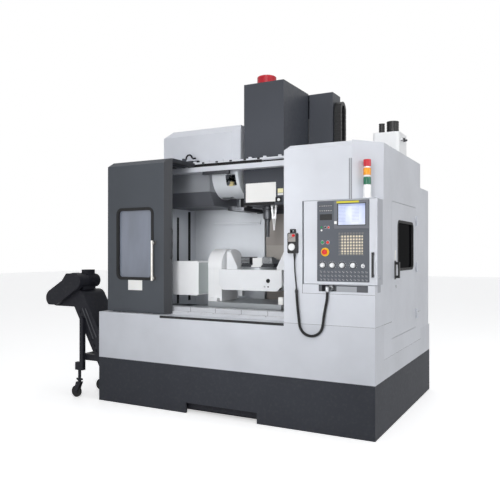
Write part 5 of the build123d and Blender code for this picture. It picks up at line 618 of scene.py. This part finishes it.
def cord_curve(name, route, radius):
    """A round black cord with a route's points as its control points."""
    curve = bpy.data.curves.new(name, "CURVE")
    curve.dimensions = "3D"
    curve.bevel_depth = 1.0
    curve.bevel_resolution = 6
    curve.resolution_u = 16
    line = curve.splines.new("NURBS")
    line.points.add(len(route) - 1)
    for point, place in zip(line.points, route):
        point.co = (*at(*place), 1.0)
        point.radius = radius / 1000
    line.order_u = 3
    line.use_endpoint_u = True
    made = bpy.data.objects.new(name, curve)
    bpy.context.scene.collection.objects.link(made)
    curve.materials.append(rubber)
    return made


def line_of(cord):
    """Points along a cord's own spline, from its first end to its last."""
    depth, cord.data.bevel_depth = cord.data.bevel_depth, 0.0
    mesh = bpy.data.meshes.new_from_object(cord)
    cord.data.bevel_depth = depth
    points = [v.co.copy() for v in mesh.vertices]
    bpy.data.meshes.remove(mesh)
    return points


def length_of(points):
    """The length of a line of points, in metres."""
    return sum((b - a).length for a, b in zip(points, points[1:]))


def ribs_along(name, points):
    """The corrugation of the sleeve: low rings at an even pitch."""
    root = SLEEVE_RADIUS - 1.4
    rib = [(root, -2.2), (SLEEVE_RADIUS, -1.0), (SLEEVE_RADIUS, 1.0), (root, 2.2)]
    last = length_of(points) * 1000 - PLAIN_END
    bm = bmesh.new()
    walked, wanted = 0.0, FIRST_RIB
    for a, b in zip(points, points[1:]):
        run = (b - a).length * 1000
        while walked + run >= wanted and wanted < last:
            turned_along(bm, a.lerp(b, (wanted - walked) / run), b - a, rib)
            wanted += RIB_PITCH
        walked += run
    return piece(name, bm, rubber, "machine")


def gland(name, place, direction, profile, material):
    """A sleeve's end or a strain relief, turned about the cord."""
    bm = bmesh.new()
    turned_along(bm, place, direction, profile, 24)
    return piece(name, bm, material, "machine")


cable = cord_curve("pendant_cable_run", CABLE_ROUTE, CABLE_RADIUS)
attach(cable, "machine")
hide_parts("pendant_cable")
sleeve = cord_curve("cable_sleeve_run", SLEEVE_ROUTE, SLEEVE_RADIUS - 1.0)
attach(sleeve, "machine")
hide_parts("cable_sleeve")
cable_line, sleeve_line = line_of(cable), line_of(sleeve)
ribs = ribs_along("sleeve_ribs", sleeve_line)
joint = gland("sleeve_end_gland", sleeve_line[0], sleeve_line[1] - sleeve_line[0],
              [(5.2, -16), (7.5, -14), (9.5, -2), (12.5, -1.5), (12.5, 9), (12.0, 11), (12.0, 20),
               (10.4, 22)], black_plastic)
relief = gland("pendant_strain_relief", cable_line[0], cable_line[1] - cable_line[0],
               [(9.0, -2), (9.0, 6), (7.6, 9), (6.6, 24), (5.2, 38)], rubber)

# Door windows: gaskets, blank plates and the inner handle

WINDOW_WIDTH, WINDOW_Z = 407, (1155, 1800)
for name, x0, low, high, body in (("left_window_gasket", -2495, 53.0, 78.0, "left_door"),
                                  ("right_window_gasket", -621, 152.0, 178.0, "right_door")):
    gasket(name, front, (x0, x0 + WINDOW_WIDTH, *WINDOW_Z), 26, low, high, body)
gasket("side_window_gasket", side, (667, 1215, 1253, 1660), 22, 4.0, -16.0, "side_door")


def front_plate(x0, x1, z0, z1, face, back, screws=None):
    """A blank plate across y; screws are (inset, radius, rise, rim, corners of the outline)."""
    bm = bmesh.new()
    block(bm, x0, x1, face, back, z0, z1)
    if screws:
        inset, radius, rise, rim, corners = screws
        for x in (x0 + inset, x1 - inset):
            for z in (z0 + inset, z1 - inset):
                disc(bm, "y", (x, face, z), radius, -rise, 0.4, rim, corners)
    return bm


bm = front_plate(-2369, -2205, 1048, 1141, 58.4, 60.2, (7, 2.4, 1.2, 0.3, 12))
piece("left_door_blank_plate", bm, label, "left_door", bevel=0.6)

bm = bmesh.new()
block(bm, -0.4, 1.6, 562, 606, 1336, 1416)
for y in (567, 601):
    for z in (1341, 1411):
        disc(bm, "x", (0.0, y, z), 1.8, 1.2, 2.2, 0.3, 10)
piece("side_door_blank_plate", bm, label, "side_door", bevel=0.5)

EDGE_X, GRIP_X, GRIP_Y, GRIP_Z = -1899, -1882, 78, (1348, 1610)
bm = bmesh.new()
rod_along(bm, [(EDGE_X, GRIP_Y, GRIP_Z[1]), (-1892, GRIP_Y, GRIP_Z[1] + 1), (-1885, GRIP_Y, 1607),
               (GRIP_X, GRIP_Y, 1598), (GRIP_X, GRIP_Y, 1480), (GRIP_X, GRIP_Y, 1360),
               (-1885, GRIP_Y, 1351), (-1892, GRIP_Y, GRIP_Z[0] - 1), (EDGE_X, GRIP_Y, GRIP_Z[0])],
          6.0)
piece("left_door_inner_handle", bm, black_plastic, "left_door")

# The head's blank plates and coolant nozzles

HEAD_FACE = 660.2
PLATE_X = (-1109, -1053)
pale_yellow = finish("pale_yellow_plate", srgb(238, 232, 186), 0.5, wear=0.1, bump=0.02,
                     mottle=0.03)
piece("head_blank_plate",
      front_plate(-1444, -1127, 1870, 2050, 657.6, HEAD_FACE, (10, 4.0, 1.4, 0.5, 14)),
      label, "head", bevel=0.8)
piece("head_pale_plate", front_plate(*PLATE_X, 1948, 1988, 658.4, HEAD_FACE), pale_yellow, "head",
      bevel=0.5)
piece("head_small_plate", front_plate(*PLATE_X, 1926, 1945, 658.6, HEAD_FACE), label, "head",
      bevel=0.4)

NOZZLE_PROFILE = [(0.1, 0), (13, 0), (13, 12), (10, 15), (10, 38), (11.5, 40), (11.5, 62),
                  (9, 65), (9, 100), (11, 103), (11, 122), (4.5, 132), (3.2, 215), (3.2, 236),
                  (0.1, 236)]
NOZZLE_TOP, NOZZLE_TIP = (780, 1843), (792, 1612)
bm = bmesh.new()
for top_x, tip_x in ((-1226, -1214), (-1184, -1206)):
    top, tip = at(top_x, *NOZZLE_TOP), at(tip_x, *NOZZLE_TIP)
    turned_along(bm, top, tip - top, NOZZLE_PROFILE, 16)
piece("coolant_nozzles", bm, white_paint, "head")

# Rubber strips on the left inner wall

STRIP_FACE = -2357
bm = bmesh.new()
block(bm, -2364, STRIP_FACE, 836, 866, 862, 1765)
block(bm, -2364, STRIP_FACE, 1045, 1083, 882, 1835)
for z in (900, 1180, 1460, 1740):
    for y in (851, 1064):
        disc(bm, "x", (STRIP_FACE, y, z), 5.0, -0.5, 2.0, 0.6, 12)
piece("inner_wall_strips", bm, rubber, "machine", bevel=1.2)

# The front beam: clips on its face, a small drive below it, and a hook on top

CLIP_FACE = 472
bm = bmesh.new()
for x in (-1806, -1655, -1504, -1355, -1214):
    block(bm, x - 13, x + 13, CLIP_FACE, 476, 2242, 2256)
    disc(bm, "y", (x, CLIP_FACE, 2249), 4.0, -0.8, 0.5, 0.3, 12)
piece("beam_clips", bm, black_plastic, "machine", bevel=1.0)

bm = bmesh.new()
block(bm, -1820, -1568, 482, 518, 2138, 2168)
block(bm, -1566, -1530, 484, 516, 2132, 2168)
rod_along(bm, [(-1830, 500, 2146), (-1530, 500, 2146)], 6.0)
piece("beam_drive", bm, arm_steel, "machine", bevel=1.5)

HOOK_Y, HOOK_FOOT_FACE = 506, 494
bm = bmesh.new()
block(bm, -2034, -1872, HOOK_FOOT_FACE, 518, 2266, 2281)
rod_along(bm, [(x, HOOK_Y, z) for x, z in
               ((-2022, 2272), (-2024, 2302), (-2017, 2326), (-2001, 2341), (-1980, 2343),
                (-1962, 2333), (-1953, 2315), (-1940, 2304), (-1912, 2306))], 9.0)
for x in (-2003, -1900):
    disc(bm, "y", (x, HOOK_FOOT_FACE, 2273), 5.0, -2.5, 0.5, 0.8, 16)
piece("beam_hook", bm, black_paint, "machine", bevel=1.5)

# The corner plate above the hood's slanted edge

CORNER = ((-1561.5, 594.5, 2546), (-1498.6, 657.4, 2546), (-1498.6, 657.4, 2610))
bm = bmesh.new()
rows = [[bm.verts.new(at(x + shift, y - shift, z)) for x, y, z in CORNER] for shift in (0.3, -3.2)]
bm.faces.new(rows[0])
bm.faces.new(rows[1][::-1])
for i in range(3):
    j = (i + 1) % 3
    bm.faces.new([rows[0][i], rows[1][i], rows[1][j], rows[0][j]])
piece("hood_corner_plate", bm, light, "machine", bevel=0.4)

# Vise jaws, table end stop and the gripper finger in the drum's window

JAW_BACK, FIN_PITCH, KNURL_PITCH = 480.5, 10.5, (11, 13)
bm = bmesh.new()
for i in range(9):
    x = -1171 + FIN_PITCH * i
    block(bm, x, x + 4.5, 474.5, JAW_BACK, 1300, 1352)
piece("vise_jaw_fins", bm, steel, "faceplate", bevel=0.6)
bm = bmesh.new()
for i in range(8):
    for j in range(4):
        x, z = -1394 + KNURL_PITCH[0] * i, 1302 + KNURL_PITCH[1] * j
        block(bm, x, x + 6.5, 477.5, JAW_BACK, z, z + 7)
piece("vise_jaw_knurl", bm, steel, "faceplate", bevel=0.8)

TABLE_Z = 949.6
bm = bmesh.new()
block(bm, -941, -897, 316, 348, TABLE_Z, 1012)
block(bm, -936, -902, 312, 320, TABLE_Z, 990)
disc(bm, "y", (-919, 312, 972), 6.0, -3.0, 0.5, 0.8, 14)
piece("table_end_stop", bm, label, "machine_table", bevel=2.0)

brass = finish("brass_finger", srgb(214, 200, 150), 0.35, metal=0.4, wear=0.3)
bm = bmesh.new()
block(bm, -1612, -1572, 636, 676, 2034, 2052)
block(bm, -1606, -1578, 640, 672, 2050, 2078)
disc(bm, "y", (-1592, 640, 2064), 9.0, -4.0, 0.5, 1.0, 16)
piece("window_gripper", bm, brass, "machine", bevel=1.5)

# The dark rail behind the base's opening, partly an inner bar and partly a dark piece that stands
# for the shade under the base, and the conveyor's rails

RAIL_X, RAIL_FACE, RAIL_LOW = (-1770, -960), 46, 24
bm = bmesh.new()
block(bm, *RAIL_X, RAIL_FACE, 60.5, RAIL_LOW, 140)
block(bm, *RAIL_X, RAIL_FACE, 96, RAIL_LOW, 32)
for x in (-1640, -1480, -1320, -1160, -1060):
    disc(bm, "y", (x, RAIL_FACE, 62), 9.0, -5.0, 0.5, 1.2, 6)
piece("base_bar_and_shade_rail", bm, black_paint, "machine", bevel=1.5)
bm = bmesh.new()
for shift in (0, 38):
    rod_along(bm, [(-2890 + shift, 7.5, 857), (-2752 + shift, 7.5, 571 + shift * 0.5)], 5.0, 10)
piece("conveyor_rails", bm, arm_steel, "machine")

# The plug tray's rim and the latch on the panel's side

LATCH_X, LATCH_Y, LATCH_Z = 20.0, 24, 1213
bm = bmesh.new()
frame_ring(bm, front, rounded_path(-449, -49, 1094, 1153.4, 4.0),
           rounded_path(-445, -53, 1098, 1150, 2.0), -2.4, 0.3)
piece("plug_tray_rim", bm, light, "machine", bevel=0.4)
bm = bmesh.new()
disc(bm, "x", (LATCH_X, LATCH_Y, LATCH_Z), 10.0, -0.5, 2.4, 0.8, 24)
block(bm, LATCH_X + 2.2, LATCH_X + 3.2, LATCH_Y - 1.2, LATCH_Y + 1.2, LATCH_Z - 6, LATCH_Z + 6)
piece("panel_side_latch", bm, stainless, "operator_panel", bevel=0.3)

# Controls on the panel

PANEL_Y = -2.0
KNOB_PLACES, KNOB_Z, KNOB_MARKS = (-411.0, -333.0, -254.0, -169.0), 1300, 31
POWER_KEYS_Z, LED_PITCH, KEY_PITCH = 1590, 18, 30


def panel_disc(bm, x, z, radius, rise, rim, corners, face=PANEL_Y):
    """A round part of the panel's face."""
    disc(bm, "y", (x, face, z), radius, -rise, 0.3, rim, corners)


lamps, ports, marks = bmesh.new(), bmesh.new(), bmesh.new()
for z in (1755, 1718):
    for column in range(6):
        x = -432 + column * LED_PITCH
        block(ports, x - 6, x + 6, PANEL_Y - 1.4, PANEL_Y + 0.5, z - 6, z + 6)
        panel_disc(marks, x, z, 3.2, 1.0, 0.4, 10, PANEL_Y - 1.4)
block(ports, -434, -334, PANEL_Y - 1.8, PANEL_Y + 0.5, 1646, 1692)
panel_disc(ports, -387, 1672, 9.0, 2.2, 0.8, 20, PANEL_Y - 1.8)
block(marks, -314, -294, PANEL_Y - 9.8, PANEL_Y - 7.0, 1614, 1636)
panel_disc(lamps, -420, 1592, 8.0, 3.0, 0.8, 18)
panel_disc(marks, -420, 1568, 7.5, 3.0, 0.8, 18)
for z in (1190.0, 1220.0, 1250.0):
    for column in range(13):
        x = -425 + KEY_PITCH * column
        disc(marks, "y", (x - 4, PANEL_Y - 1.5, z + 4), 1.6, -0.6, 0.3, 0.2, 8)
        block(marks, x + 1, x + 7, PANEL_Y - 1.9, PANEL_Y - 1.3, z - 4, z - 2)
for x in KNOB_PLACES:
    for step in range(9):
        a = math.radians(-30 + 30 * step)
        panel_disc(marks, x + KNOB_MARKS * math.cos(a), KNOB_Z + KNOB_MARKS * math.sin(a),
                   1.5, 0.5, 0.2, 8)
piece("panel_lamps", lamps, green_plastic, "operator_panel")
piece("panel_ports", ports, black_plastic, "operator_panel", bevel=0.6)
piece("panel_marks", marks, label, "operator_panel", bevel=0.2)


def bezel(bm, x, z, profile, corners=32):
    """A turned ring on the panel's face, closed from its first point back to it."""
    lathe(bm, [*profile, profile[0]], "y", (x, PANEL_Y, z), corners)


bm = bmesh.new()
for x in (-412.0, -368.0):
    bezel(bm, x, 1475, [(12.4, 0.4), (15.5, 0.4), (15.5, -2.0), (14.5, -2.8), (12.4, -2.8)])
for x in (-388, -362):
    bezel(bm, x, POWER_KEYS_Z, [(8.4, 0.4), (11, 0.4), (11, -2.0), (10, -2.8), (8.4, -2.8)])
bezel(bm, -92, 1297, [(10.4, 0.4), (15.0, 0.4), (15.0, -2.2), (10.4, -2.2)])
piece("panel_bezels", bm, stainless, "operator_panel")
bm = bmesh.new()
for x in KNOB_PLACES:
    bezel(bm, x, KNOB_Z, [(19.6, -0.6), (25.5, -0.6), (25.5, -2.4), (19.6, -2.4)], 40)
piece("knob_bezels", bm, black_plastic, "operator_panel")

for name, x, material, slot in (("power_on_key", -388, black_plastic, "black_plastic"),
                                ("power_off_key", -362, red_plastic, "red_plastic")):
    bm = bmesh.new()
    lathe(bm, [(0, 0.4), (8.0, 0.4), (8.0, -4.5), (6.8, -6.0), (0, -6.2)], "y",
          (x, PANEL_Y, POWER_KEYS_Z), 28)
    piece(name, bm, material, "operator_panel")

# Stage, camera and light

bm = bmesh.new()
bmesh.ops.create_grid(bm, x_segments=2, y_segments=2, size=30.0)
mesh = bpy.data.meshes.new("floor")
bm.to_mesh(mesh)
bm.free()
floor = bpy.data.objects.new("floor", mesh)
bpy.context.scene.collection.objects.link(floor)
floor_paint = finish("floor_paint", srgb(250, 250, 250), 0.6, mottle=0.01, bump=0.01, wear=0.0,
                     grain=60.0)
mesh.materials.append(floor_paint)


def seen_directly(nodes, links):
    """1 where the camera, a mirror or glass sees a surface, 0 where it lights other things."""
    path = nodes.new("ShaderNodeLightPath")
    total = path.outputs["Is Camera Ray"]
    for other in ("Is Glossy Ray", "Is Transmission Ray"):
        both = nodes.new("ShaderNodeMath")
        both.operation = "ADD"
        both.use_clamp = True
        links.new(total, both.inputs[0])
        links.new(path.outputs[other], both.inputs[1])
        total = both.outputs[0]
    return total


# The floor is lifted towards white only where it is seen, so the lift lights no other surface.
FLOOR_LIFT = 0.5
tree = floor_paint.node_tree
lift = tree.nodes.new("ShaderNodeMath")
lift.operation = "MULTIPLY"
tree.links.new(seen_directly(tree.nodes, tree.links), lift.inputs[0])
lift.inputs[1].default_value = FLOOR_LIFT
shader = tree.nodes["Principled BSDF"]
shader.inputs["Emission Color"].default_value = (1, 1, 1, 1)
tree.links.new(lift.outputs[0], shader.inputs["Emission Strength"])

# The camera stands where the photo's did: its place, its turn to the left and its tilt upwards.
EYE, EYE_TURN, EYE_TILT = (1250.5, -4294.65, 1400), 28.14, 0.21
FOCAL_PIXELS, PHOTO_PIXELS, SENSOR = 593.46, 500, 36.0
camera = bpy.data.objects.new("camera", bpy.data.cameras.new("camera"))
bpy.context.scene.collection.objects.link(camera)
camera.location = at(*EYE)
camera.rotation_euler = (math.radians(90 + EYE_TILT), 0, math.radians(EYE_TURN))
camera.data.sensor_width = SENSOR
camera.data.lens = FOCAL_PIXELS / PHOTO_PIXELS * SENSOR
camera.data.dof.use_dof = False
camera.data.clip_end = 100
bpy.context.scene.camera = camera


def lamp(name, place, target, size, power, spread=180.0):
    """A soft lamp that the camera doesn't see."""
    data = bpy.data.lights.new(name, "AREA")
    data.shape = "RECTANGLE"
    data.size, data.size_y = size
    data.energy = power
    data.spread = math.radians(spread)
    made = bpy.data.objects.new(name, data)
    bpy.context.scene.collection.objects.link(made)
    made.location = place
    made.visible_camera = False
    made.rotation_euler = (Vector(target) - Vector(place)).to_track_quat("-Z", "Y").to_euler()


lamp("key", (3.0, -7.0, 5.0), (0, 0, 1.4), (3.5, 3.0), 168)
lamp("front_fill", at(-300, -5500, 1800), at(-1300, 500, 1750), (1.5, 1.5), 12, 45.0)
lamp("inner_fill", at(-1700, 640, 1815), at(-1700, 1190, 1330), (1.1, 0.12), 1.0, 110.0)
lamp("fill", (7.0, -1.5, 4.0), (0.5, 0, 1.2), (4.0, 4.0), 88)
lamp("top", (0.0, 0.5, 6.5), (0, 0, 1.0), (5.0, 5.0), 70)

# The world lights the part softly and is white where it is seen.
WORLD_LIGHT, WORLD_SEEN = (0.30, 0.305, 0.315, 1), (1, 1, 1, 1)
world = bpy.data.worlds.new("world")
bpy.context.scene.world = world
world.use_nodes = True
nodes, links = world.node_tree.nodes, world.node_tree.links
background = nodes["Background"]
choice = nodes.new("ShaderNodeMix")
choice.data_type = "RGBA"
links.new(seen_directly(nodes, links), choice.inputs[0])
choice.inputs[6].default_value = WORLD_LIGHT
choice.inputs[7].default_value = WORLD_SEEN
links.new(choice.outputs[2], background.inputs["Color"])
background.inputs["Strength"].default_value = 1.0
bpy.context.scene.view_settings.view_transform = "Standard"
